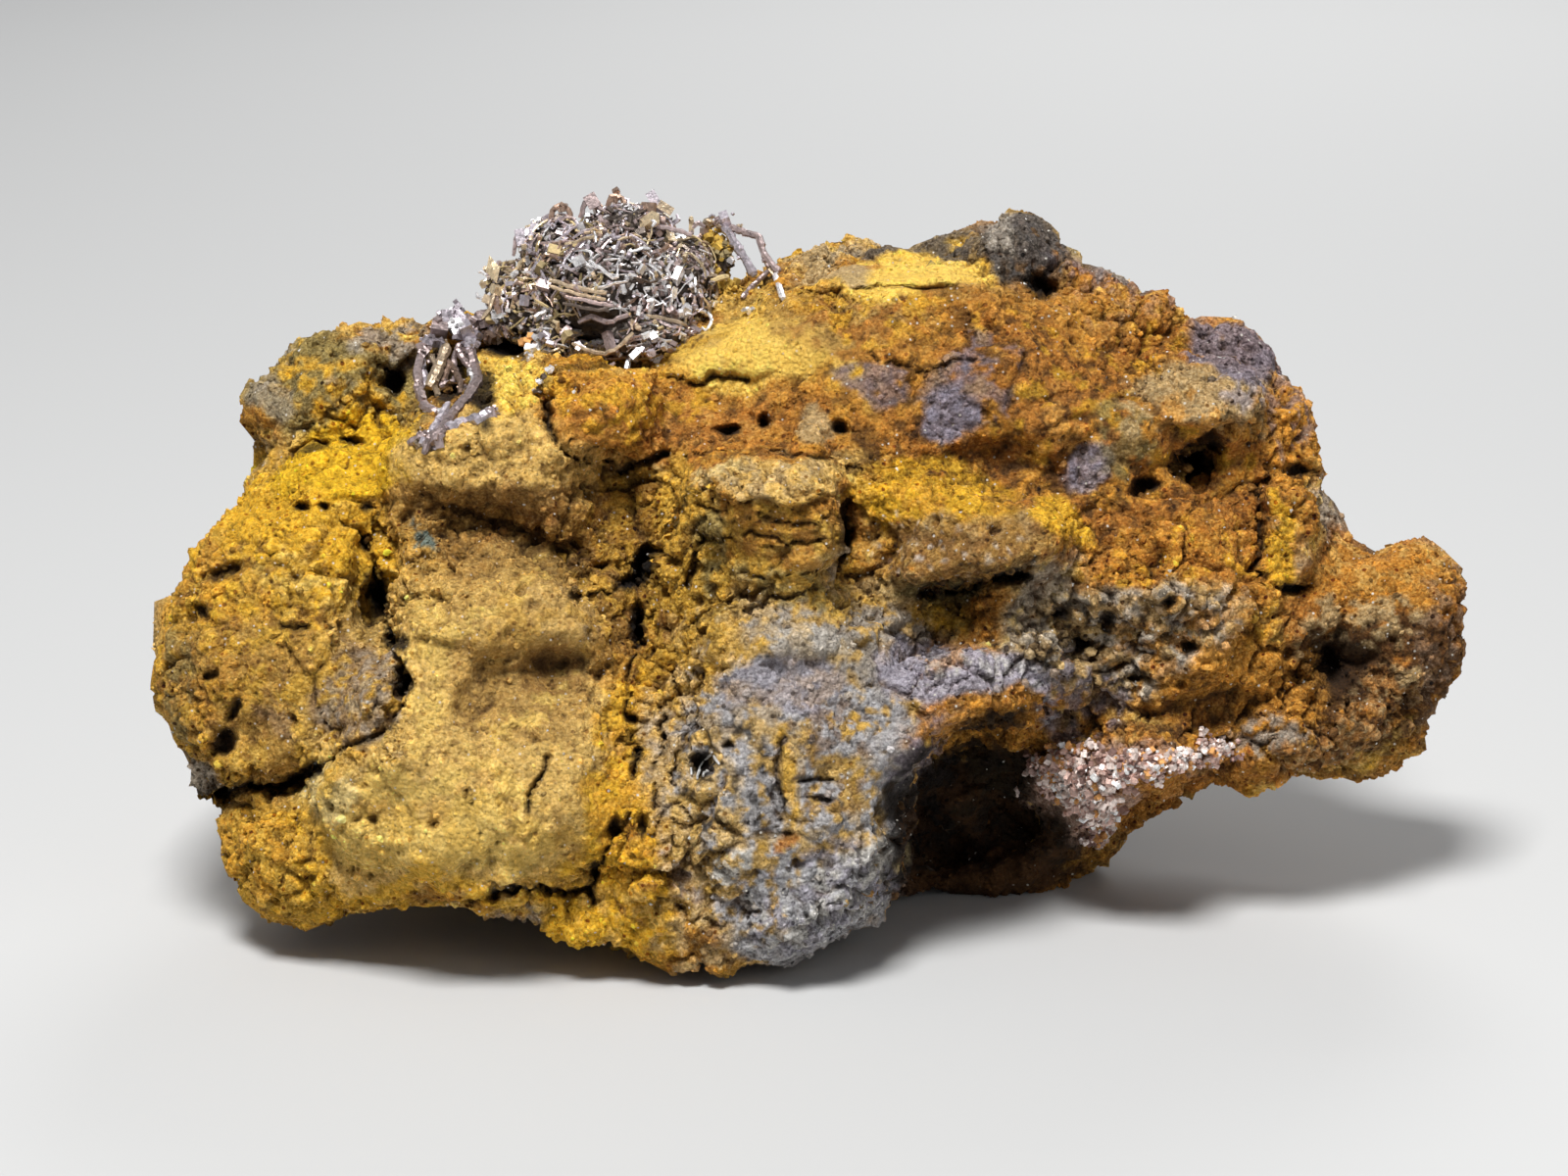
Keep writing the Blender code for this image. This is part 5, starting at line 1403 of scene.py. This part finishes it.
def nest(rng, tree):
    """Wires and crystals at random over a core painted dark as shade, and the ones that show
    singly.
    """
    heap = Heap()
    # The core is painted dark as the shade inside the tangle of wires
    heap.add(*nest_core(), "dark", CORE_SHADE_LIGHTNESS)
    for _ in range(NEST_WIRES):
        line = crawling_line(rng)
        spot = line[len(line) // 2]
        if not in_gap(spot, GAP_NEAR):
            add_wire(heap, rng, line, rng.uniform(*NEST_WIRE), nest_tint(rng, spot),
                     step=NEST_WIRE_STEP, sides=NEST_WIRE_SIDES)
    for _ in range(NEST_HOOKS):
        line = hook_line(rng)
        if not in_gap(line[2]):
            add_wire(heap, rng, line, rng.uniform(*NEST_HOOK), nest_tint(rng, line[2]),
                     jitter=HOOK_JITTER)
    for half_width, tint, points in NEST_LINES:
        add_wire(heap, rng, pixel_line(points), half_width, tint)
    for _ in range(NEST_CRYSTALS):
        middle, half, out = nest_spot(rng)
        spot = middle + half * out * rng.uniform(*CRYSTAL_LAYER)
        if not in_gap(spot, GAP_NEAR):
            add_block(heap, rng, spot, rng.uniform(*NEST_CRYSTAL), nest_tint(rng, spot),
                      rng.choice(["box", "octahedron"]), rng.uniform(*CRYSTAL_STRETCH))
    for _ in range(NEST_CHUNKS):
        middle, half, out = nest_spot(rng)
        spot = middle + half * out * rng.uniform(*CHUNK_LAYER)
        if not in_gap(spot):
            add_block(heap, rng, spot, rng.uniform(*NEST_CHUNK), nest_tint(rng, spot), "box",
                      rng.uniform(*CHUNK_STRETCH))
    for point, half_size, tint in NEST_BLOCKS:
        spot = clear_of(tree, pixel_line([point]), [point], half_size / 2)[0]
        add_cluster(heap, rng, spot, NEST_BLOCK_COUNT, half_size * NEST_BLOCK_SPREAD,
                    half_size * NEST_BLOCK_PART, tint)
    for flake in NEST_FLAKES:
        add_flake(heap, *flake)
    return heap.object("copper_nest")


# A tuft: steps and straying of its wires in mm, their sides, crumbs along each wire and their
# sizes as shares of its half width, and crystals round each block, with their spread and sizes
TUFT_STEP = 0.16
TUFT_JITTER = 0.012
TUFT_SIDES = 7
CRUMB_STEP = 0.1
CRUMBS = 9
CRUMB_SIZES = (0.2, 0.45)
BLOCK_MIDDLE = 0.8
BLOCK_CRYSTALS = 10
BLOCK_DUST = 40
BLOCK_SPREAD = 0.6
BLOCK_CRYSTAL_SIZES = (0.15, 0.45)

# The tuft of loops left of the nest lies in a plane that comes nearer down the picture: which
# pixel coordinate it goes by, where it starts, near there in mm, and mm for each pixel
LOOP_PLANE = (1, 425, -0.5, 0.0336)
LOOP_BRIGHTNESS = 0.72
# Its wires: half width in mm, tint, and points as pixel and lift in mm over the plane
LOOP_LINES = [
    (0.20, "mauve", [(440, 346, 0.1), (430, 362, 0.1), (426, 379, 0.2), (427, 397, 0.3),
                     (434, 415, 0.3), (446, 422, 0.3)]),
    (0.18, "lilac", [(434, 350, 0), (430, 372, -0.1), (436, 396, -0.1)]),
    (0.23, "tan", [(456, 352, 0.5), (450, 368, 0.6), (444, 384, 0.6), (438, 396, 0.5)]),
    (0.14, "mauve", [(465, 355, 0.4), (474, 368, 0.4), (484, 380, 0.3)]),
    (0.14, "brown", [(460, 370, 0.3), (455, 382, 0.3), (451, 394, 0.3)]),
    (0.16, "mauve", [(448, 394, 0.4), (457, 392, 0.4), (466, 388, 0.3)]),
    (0.23, "mauve", [(478, 352, 0), (484, 374, 0.1), (488, 388, 0.2), (478, 404, 0.3),
                     (463, 421, 0.4), (450, 440, 0.4), (436, 452, 0.3)]),
    (0.17, "silver", [(480, 378, 0.3), (485, 388, 0.4), (480, 398, 0.4)]),
    (0.25, "lilac", [(456, 438, 0.5), (476, 431, 0.5), (490, 427, 0.5), (504, 419, 0.4)]),
    (0.13, "silver", [(433, 419, 0.5), (445, 421, 0.6), (457, 416, 0.5)]),
    (0.17, "lilac", [(458, 412, 0.4), (450, 426, 0.5), (441, 440, 0.5)]),
    (0.16, "mauve", [(446, 436, 0.4), (438, 448, 0.4), (432, 464, 0.5)]),
    (0.16, "mauve", [(440, 440, 0.4), (428, 446, 0.3), (417, 452, 0.3)]),
    (0.13, "brown", [(450, 362, 0.2), (462, 374, 0.3), (470, 390, 0.3), (470, 402, 0.3)]),
    (0.13, "mauve", [(470, 350, -0.2), (462, 366, 0.0), (466, 384, 0.0), (476, 396, 0.0)]),
    (0.12, "tan", [(440, 362, 0.1), (446, 376, 0.2), (443, 392, 0.2), (447, 404, 0.2)]),
]
# Its blocks of crystals: pixel and lift, half size in mm, tint
LOOP_BLOCKS = [
    ((456, 326, 0.0), 0.34, "lilac"), ((448, 337, 0.1), 0.34, "mauve"),
    ((440, 348, 0.1), 0.31, "lilac"), ((432, 360, 0.1), 0.26, "mauve"),
    ((470, 324, 0.1), 0.40, "lilac"), ((476, 338, 0.2), 0.40, "lilac"),
    ((466, 334, 0.2), 0.3, "silver"), ((484, 332, 0.0), 0.39, "mauve"),
    ((482, 350, 0.1), 0.34, "lilac"), ((496, 326, -0.2), 0.39, "mauve"),
    ((506, 336, -0.2), 0.36, "lilac"), ((500, 344, -0.1), 0.29, "brown"),
    ((502, 422, 0.3), 0.26, "mauve"), ((438, 454, 0.3), 0.29, "lilac"),
    ((428, 452, 0.3), 0.26, "tan"), ((448, 450, 0.3), 0.26, "mauve"),
]
# The sprig right of the nest, in the same terms
SPRIG_PLANE = (0, 747, -4.3, 0.02)
SPRIG_BRIGHTNESS = 0.85
SPRIG_LINES = [
    (0.19, "lilac", [(738, 232, 0.2), (742, 236, 0.2), (750, 248, 0.3), (760, 264, 0.3),
                     (770, 282, 0.3)]),
    (0.16, "mauve", [(744, 232, 0.1), (760, 237, 0.1), (774, 241, 0.1), (779, 258, 0.2),
                     (786, 268, 0.2), (795, 277, 0.3)]),
    (0.11, "tan", [(779, 258, 0.2), (784, 272, 0.1), (792, 284, 0.2)]),
    (0.13, "silver", [(791, 280, 0.4), (795, 292, 0.5), (799, 305, 0.6)]),
    (0.12, "mauve", [(757, 304, 0.6), (768, 292, 0.4), (784, 276, 0.3)]),
    (0.12, "tan", [(720, 232, 0), (728, 228, 0), (740, 232, 0.1)]),
    (0.16, "brown", [(722, 240, -0.2), (730, 256, -0.2), (736, 276, 0), (742, 296, 0.2)]),
]
SPRIG_BLOCKS = [
    ((722, 229, 0), 0.22, "tan"), ((734, 226, 0), 0.2, "mauve"), ((740, 224, 0.1), 0.26, "lilac"),
    ((754, 232, 0), 0.14, "tan"), ((730, 246, 0), 0.34, "ochre dust"),
    ((738, 260, 0), 0.3, "olive dust"), ((742, 270, 0.2), 0.24, "dark"),
    ((746, 266, 0.3), 0.14, "silver"), ((734, 282, 0), 0.32, "ochre dust"),
    ((745, 292, 0.1), 0.3, "ochre dust"), ((726, 262, -0.2), 0.34, "olive dust"),
    ((718, 250, -0.2), 0.3, "ochre dust"), ((720, 236, -0.1), 0.24, "brown"),
    ((764, 317, 1.1), 0.16, "white"), ((746, 250, 0), 0.2, "ochre dust"),
]


def lifted_line(points, plane):
    """(across, up, near) of points given as pixel and lift over a slanting plane."""
    axis, start, near, slope = plane
    line = pixel_line(points)
    line[:, 2] += near + slope * (np.array(points, float)[:, axis] - start)
    return line


def clear_of(tree, line, points, half_width):
    """The same line, brought forward where it would lie in the rock."""
    for spot, (px, py, _) in zip(line, points):
        found, _ = surface_spot(tree, px, py)
        if found is not None:
            spot[2] = max(spot[2], seen_spot(found)[2] + half_width)
    return line


def tuft(name, rng, tree, lines, blocks, plane, brightness):
    """Named wires and crystals of one tuft, with small crystals along them."""
    heap = Heap(brightness)
    for half_width, tint, points in lines:
        line = clear_of(tree, lifted_line(points, plane), points, half_width)
        add_wire(heap, rng, line, half_width, tint, TUFT_STEP, TUFT_JITTER, TUFT_SIDES)
        path = kinked(rng, line, CRUMB_STEP, 0.0)
        for _ in range(CRUMBS):
            spot = path[rng.integers(len(path))] + unit(rng.normal(size=3)) * half_width
            add_block(heap, rng, spot, rng.uniform(*CRUMB_SIZES) * half_width, tint)
    for point, half_size, tint in blocks:
        spot = clear_of(tree, lifted_line([point], plane), [point], half_size / 2)[0]
        if tint not in DUSTY:
            add_block(heap, rng, spot, half_size * BLOCK_MIDDLE, tint)
        for _ in range(BLOCK_DUST if tint in DUSTY else BLOCK_CRYSTALS):
            shift = rng.normal(0, half_size * BLOCK_SPREAD, 3)
            add_block(heap, rng, spot + shift, half_size * rng.uniform(*BLOCK_CRYSTAL_SIZES), tint)
    return heap.object(name)


# The crust of small crystals along the edge of the dark hollow: middle, half sizes in pixels,
# turn, how many clusters, half size and pile in mm; then their scatter as a share of a band's
# half sizes, their tints, and the share of white crystals
CRUST_BANDS = [
    ((1086, 782), (28, 20), 20, 160, 0.14, 0.6),
    ((1112, 808), (22, 22), 0, 150, 0.14, 0.6),
    ((1118, 840), (12, 18), 0, 90, 0.12, 0.5),
    ((1146, 786), (34, 13), 14, 110, 0.13, 0.4),
    ((1195, 778), (32, 11), 10, 80, 0.12, 0.3),
    ((1238, 764), (24, 10), 10, 60, 0.11, 0.3),
]
CRUST_SCATTER = 0.5
CRUST_TINTS = ["pink", "pink", "dark pink", "pale pink", "pale pink", "orange"]
CRUST_WHITE = 0.12
# Crystals in a cluster, with their spread and sizes as shares of the band's half size, and how
# deep in mm a spot may lie before it is left out as part of the hollow
CRUST_CLUSTER = 5
CRUST_SPREAD = 0.8
CRUST_SIZES = (0.25, 0.95)
CRUST_DEEPEST = -7.5

# How far in front of and behind the plane a line of sight is followed, in mm
SIGHT_REACH = 60.0


def surface_spot(tree, px, py):
    """Where the sight line of a pixel first meets the rock, and the normal there."""
    across, up = plane_of(px, py)
    start, end = place(across, up, SIGHT_REACH), place(across, up, -SIGHT_REACH)
    spot, normal, _, _ = tree.ray_cast(Vector(start), Vector(end - start).normalized())
    return spot, normal


def seen_spot(point):
    """(across, up, near) of one world point."""
    return np.array(seen(np.array([point])))[:, 0]


def crust(rng, tree):
    """Clusters of crystals at random over the bands, piled on the rock."""
    heap = Heap()
    for middle, half, turn, count, size, pile in CRUST_BANDS:
        angle = math.radians(turn)
        for _ in range(count):
            u, v = rng.normal(0, CRUST_SCATTER, 2) * half
            px = middle[0] + u * math.cos(angle) - v * math.sin(angle)
            py = middle[1] - u * math.sin(angle) - v * math.cos(angle)
            found, normal = surface_spot(tree, px, py)
            if found is None or seen_spot(found)[2] < CRUST_DEEPEST:
                continue
            spot = seen_spot(found + normal * rng.uniform(0, pile) * MM)
            tint = rng.choice(CRUST_TINTS)
            for _ in range(CRUST_CLUSTER):
                shift = rng.normal(0, size * CRUST_SPREAD, 3)
                kind = "white" if rng.random() < CRUST_WHITE else tint
                add_block(heap, rng, spot + shift, size * rng.uniform(*CRUST_SIZES), kind)
    return heap.object("copper_crust")


# Small white crystals in the pit of the grey mass: ends as pixels, half width and height over
# the rock in mm, and how gritty they are
WHITE_FIBRES = [
    ((711, 795), (714, 784)), ((714, 784), (718, 777)), ((720, 775), (727, 769)),
    ((728, 771), (733, 779)), ((706, 790), (704, 783)), ((717, 792), (722, 786)),
]
FIBRE_HALF = 0.055
FIBRE_LIFT = 0.15
FIBRE_GRIT = 0.3


def white_fibres(rng, tree):
    """The white crystals, each from one pixel to another."""
    heap = Heap()
    for ends in WHITE_FIBRES:
        line = [seen_spot(surface_spot(tree, px, py)[0]) + (0, 0, FIBRE_LIFT) for px, py in ends]
        add_wire(heap, rng, line, FIBRE_HALF, "white")
    obj = heap.object("white_crystals")
    store(obj.data, "grit", np.full(len(obj.data.vertices), FIBRE_GRIT))
    return obj


# Spans of a noise texture's values, and of a share
NOISE = (0.3, 0.7)
SHARE = (0, 1)
# The rock's material: tones and gammas that each pattern carries the colour to
GRAIN_TONES = (0.68, 1.36)
FINE_GAMMAS = (1.5, 0.75)
FINE_TONES = (0.72, 1.3)
BROAD_TONES = (0.86, 1.14)
SPECK_GAMMAS = (1, 2.0)
SPECK_TONES = (1, 0.45)
# Dark specks and glints: cells in a millimetre, share of the cells with one, and its size
SPECKS = (2.2, 0.4, 0.16)
GLINTS = (3.5, 0.12, 0.15)
GLINT_COLOUR = (0.85, 0.8, 0.7, 1)
GLINT_ROUGHNESS = 0.2
ROCK_SPECULAR = 0.25
# Where dots have faded out, past the share of the cells as a number, past their size as a factor
CHANCE_FADE = 0.02
DOT_FADE = 1.5
# Bumps: height in mm and strength
FINE_BUMP = (0.2, 1.0)
GRAIN_BUMP = (-0.13, 1.0)
COPPER_BUMP = (0.05, 0.7)
# The copper's material: tones, and how far from its roughness the noise carries it
COPPER_TONES = (0.7, 1.35)
SMOOTHER = 0.12
ROUGHER = 0.16

# The floor, with its half width in metres
FLOOR_HALF = 3.0
FLOOR_COLOUR = (0.5, 0.5, 0.495)
FLOOR_ROUGHNESS = 0.8
# Area lights, all turned to one spot: place and size in metres, and power in watts
LIGHTS_AIM = (0, 0, 0.014)
LIGHTS = {
    "key": ((-0.04, -0.15, 0.32), 0.1, 1.75),
    "fill": ((0.30, -0.28, 0.16), 0.3, 0.2),
    "back": ((0.06, 0.30, 0.18), 0.16, 0.5),
}
SKY_COLOUR = (0.9, 0.94, 1.0, 1)
SKY_STRENGTH = 0.19


def tree_of(mesh):
    """The mesh as a tree, for lines of sight to be tried against."""
    return BVHTree.FromPolygons(points_of(mesh).tolist(), triangles_of(mesh).tolist())


def node(tree, kind, **inputs):
    """A shader node whose named inputs are set or linked."""
    made = tree.nodes.new(kind)
    for name, value in inputs.items():
        socket = made.inputs[name.replace("_", " ")]
        if isinstance(value, bpy.types.NodeSocket):
            tree.links.new(value, socket)
        else:
            socket.default_value = value
    return made


def ramp(tree, value, span, results):
    """A value carried from one span of numbers to another, and kept inside it."""
    made = node(tree, "ShaderNodeMapRange", Value=value)
    limits = zip(("From Min", "From Max", "To Min", "To Max"), (*span, *results))
    for name, number in limits:
        made.inputs[name].default_value = number
    return made.outputs["Result"]


def noise_texture(tree, position, scale, detail, roughness):
    """The values of a noise texture, with its scale in waves to a millimetre."""
    made = node(tree, "ShaderNodeTexNoise", Vector=position, Scale=scale, Detail=detail,
                Roughness=roughness)
    return made.outputs["Fac"]


def times(tree, colour, amount):
    """A colour scaled by a number."""
    made = tree.nodes.new("ShaderNodeVectorMath")
    made.operation = "SCALE"
    tree.links.new(colour, made.inputs[0])
    tree.links.new(amount, made.inputs["Scale"])
    return made.outputs["Vector"]


def deepened(tree, colour, gamma):
    """A colour made deeper by a gamma above 1, and paler by one below."""
    return node(tree, "ShaderNodeGamma", Color=colour, Gamma=gamma).outputs["Color"]


def blended(tree, share, first, second):
    """The first colour with that share of the second."""
    made = tree.nodes.new("ShaderNodeMix")
    made.data_type = "RGBA"
    tree.links.new(share, made.inputs["Factor"])
    for socket, value in ((made.inputs[6], first), (made.inputs[7], second)):
        if isinstance(value, bpy.types.NodeSocket):
            tree.links.new(value, socket)
        else:
            socket.default_value = value
    return made.outputs[2]


def new_material(name):
    """A material, its tree and shader, the painted colour, and the position in millimetres."""
    material = bpy.data.materials.new(name)
    material.use_nodes = True
    tree = material.node_tree
    shader = tree.nodes["Principled BSDF"]
    coordinates = tree.nodes.new("ShaderNodeTexCoord")
    mapping = node(tree, "ShaderNodeMapping", Vector=coordinates.outputs["Object"])
    mapping.inputs["Scale"].default_value = (1 / MM,) * 3
    pigment = attribute(tree, "pigment").outputs["Color"]
    return material, tree, shader, pigment, mapping.outputs["Vector"]


def bumped(tree, height, bump, below=None):
    """A normal bent by a height, over the bumps below."""
    distance, strength = bump
    made = node(tree, "ShaderNodeBump", Height=height, Distance=distance * MM, Strength=strength)
    if below:
        tree.links.new(below, made.inputs["Normal"])
    return made.outputs["Normal"]


def attribute(tree, name):
    """A value stored at the mesh's vertices."""
    made = tree.nodes.new("ShaderNodeAttribute")
    made.attribute_type = "GEOMETRY"
    made.attribute_name = name
    return made


def combined(tree, operation, first, second):
    """Two numbers taken together by a math node."""
    made = tree.nodes.new("ShaderNodeMath")
    made.operation = operation
    tree.links.new(first, made.inputs[0])
    tree.links.new(second, made.inputs[1])
    return made.outputs[0]


def dots(tree, position, scale, share, size):
    """1 on a small dot in that share of the cells of a random pattern, and 0 elsewhere."""
    cell = node(tree, "ShaderNodeTexVoronoi", Vector=position, Scale=scale)
    chance = node(tree, "ShaderNodeSeparateColor", Color=cell.outputs["Color"])
    lucky = ramp(tree, chance.outputs["Red"], (share, share + CHANCE_FADE), (1, 0))
    small = ramp(tree, cell.outputs["Distance"], (size, size * DOT_FADE), (1, 0))
    return combined(tree, "MULTIPLY", lucky, small)


def rock_material(name, grain_size, matt):
    """Earthy, in grains of slightly different tones, with dark specks and a few glints."""
    material, tree, shader, pigment, position = new_material(name)
    grain = node(tree, "ShaderNodeTexVoronoi", Vector=position, Scale=1 / grain_size)
    fine = noise_texture(tree, position, scale=8.0, detail=5.0, roughness=0.7)
    broad = noise_texture(tree, position, scale=1.1, detail=6.0, roughness=0.6)
    colour = times(tree, pigment, ramp(tree, grain.outputs["Color"], SHARE, GRAIN_TONES))
    colour = deepened(tree, colour, ramp(tree, fine, NOISE, FINE_GAMMAS))
    colour = times(tree, colour, ramp(tree, fine, NOISE, FINE_TONES))
    colour = times(tree, colour, ramp(tree, broad, NOISE, BROAD_TONES))
    specks = dots(tree, position, *SPECKS)
    colour = deepened(tree, colour, ramp(tree, specks, SHARE, SPECK_GAMMAS))
    colour = times(tree, colour, ramp(tree, specks, SHARE, SPECK_TONES))
    grit = attribute(tree, "grit").outputs["Fac"]
    colour = blended(tree, grit, pigment, colour)
    glints = combined(tree, "MULTIPLY", dots(tree, position, *GLINTS), grit)
    colour = blended(tree, glints, colour, GLINT_COLOUR)
    tree.links.new(colour, shader.inputs["Base Color"])
    tree.links.new(ramp(tree, glints, SHARE, (matt, GLINT_ROUGHNESS)), shader.inputs["Roughness"])
    low = bumped(tree, fine, FINE_BUMP)
    normal = bumped(tree, grain.outputs["Distance"], GRAIN_BUMP, low)
    tree.links.new(normal, shader.inputs["Normal"])
    shader.inputs["Specular IOR Level"].default_value = ROCK_SPECULAR
    return material


def copper_material(name, roughness, metal):
    """Tarnished copper with a grain along its crystals, dull where dust lies on it."""
    material, tree, shader, pigment, position = new_material(name)
    dust = attribute(tree, "dust").outputs["Fac"]
    fine = noise_texture(tree, position, scale=6.0, detail=4.0, roughness=0.6)
    colour = times(tree, pigment, ramp(tree, fine, NOISE, COPPER_TONES))
    tree.links.new(colour, shader.inputs["Base Color"])
    tree.links.new(ramp(tree, dust, SHARE, (metal, 0)), shader.inputs["Metallic"])
    dull = ramp(tree, fine, NOISE, (roughness - SMOOTHER, roughness + ROUGHER))
    tree.links.new(combined(tree, "MAXIMUM", dull, dust), shader.inputs["Roughness"])
    tree.links.new(bumped(tree, fine, COPPER_BUMP), shader.inputs["Normal"])
    return material


def plain_material(name, colour, roughness):
    material = bpy.data.materials.new(name)
    material.use_nodes = True
    shader = material.node_tree.nodes["Principled BSDF"]
    shader.inputs["Base Color"].default_value = (*colour, 1)
    shader.inputs["Roughness"].default_value = roughness
    return material


def finished(obj, material, slot, *replaced):
    """Gives a piece its material and its place in the frame."""
    obj.data.materials.clear()
    obj.data.materials.append(material)
    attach(obj, "root")
    if replaced:
        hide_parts(*replaced)


def turned_to(name, data, start, direction):
    """A light or camera at a place, that looks in a direction."""
    obj = linked(name, data)
    obj.location = start
    obj.rotation_mode = "QUATERNION"
    obj.rotation_quaternion = direction.to_track_quat("-Z", "Y")
    return obj


def studio():
    """The photograph's viewpoint, a pale floor and soft light from above and in front."""
    camera = bpy.data.cameras.new("camera")
    camera.sensor_width = SENSOR_WIDTH
    camera.lens = SENSOR_WIDTH * VIEW_DISTANCE / PICTURE_WIDTH
    camera.clip_start = MM
    eye = place(SIGHT_ACROSS, SIGHT_UP, 0.0) + TOWARD_CAMERA * VIEW_DISTANCE * MM
    bpy.context.scene.camera = turned_to("camera", camera, eye, Vector(-TOWARD_CAMERA))

    floor_mesh = bpy.data.meshes.new("floor")
    corners = [(x * FLOOR_HALF, y * FLOOR_HALF, 0) for x, y in ((-1, -1), (1, -1), (1, 1), (-1, 1))]
    floor_mesh.from_pydata(corners, [], [(0, 1, 2, 3)])
    floor_mesh.materials.append(plain_material("pale floor", FLOOR_COLOUR, FLOOR_ROUGHNESS))
    linked("floor", floor_mesh)

    for name, (start, size, power) in LIGHTS.items():
        light = bpy.data.lights.new(name, "AREA")
        light.size = size
        light.energy = power
        turned_to(name, light, start, Vector(LIGHTS_AIM) - Vector(start))
    world = bpy.data.worlds.new("studio")
    world.use_nodes = True
    background = world.node_tree.nodes["Background"]
    background.inputs["Color"].default_value = SKY_COLOUR
    background.inputs["Strength"].default_value = SKY_STRENGTH
    bpy.context.scene.world = world
    bpy.context.scene.view_settings.view_transform = "Standard"


def main():
    rng = np.random.default_rng(RANDOM_SEED)
    stone = rock()
    tree = tree_of(stone.data)
    earth = rock_material("limonite", grain_size=0.2, matt=0.92)
    finished(stone, earth, "limonite", "limonite_matrix")
    for name, row in GRAINS.items():
        finished(grains(name, stone, rng, *row), earth, "limonite")
    wire = copper_material("wire copper", roughness=0.34, metal=0.62)
    finished(nest(rng, tree), wire, "wire_copper", "copper_wire_nest")
    loops = tuft("copper_loops", rng, tree, LOOP_LINES, LOOP_BLOCKS, LOOP_PLANE, LOOP_BRIGHTNESS)
    finished(loops, wire, "loop_copper", "copper_wire_loops")
    sprig = tuft("copper_sprig", rng, tree, SPRIG_LINES, SPRIG_BLOCKS, SPRIG_PLANE,
                 SPRIG_BRIGHTNESS)
    finished(sprig, wire, "sprig_copper", "copper_wire_sprig")
    pink = copper_material("crust copper", roughness=0.4, metal=0.35)
    finished(crust(rng, tree), pink, "crust_copper", "copper_crystal_crust")
    white = rock_material("white crystal", grain_size=0.1, matt=0.35)
    finished(white_fibres(rng, tree), white, "limonite")
    studio()


main()
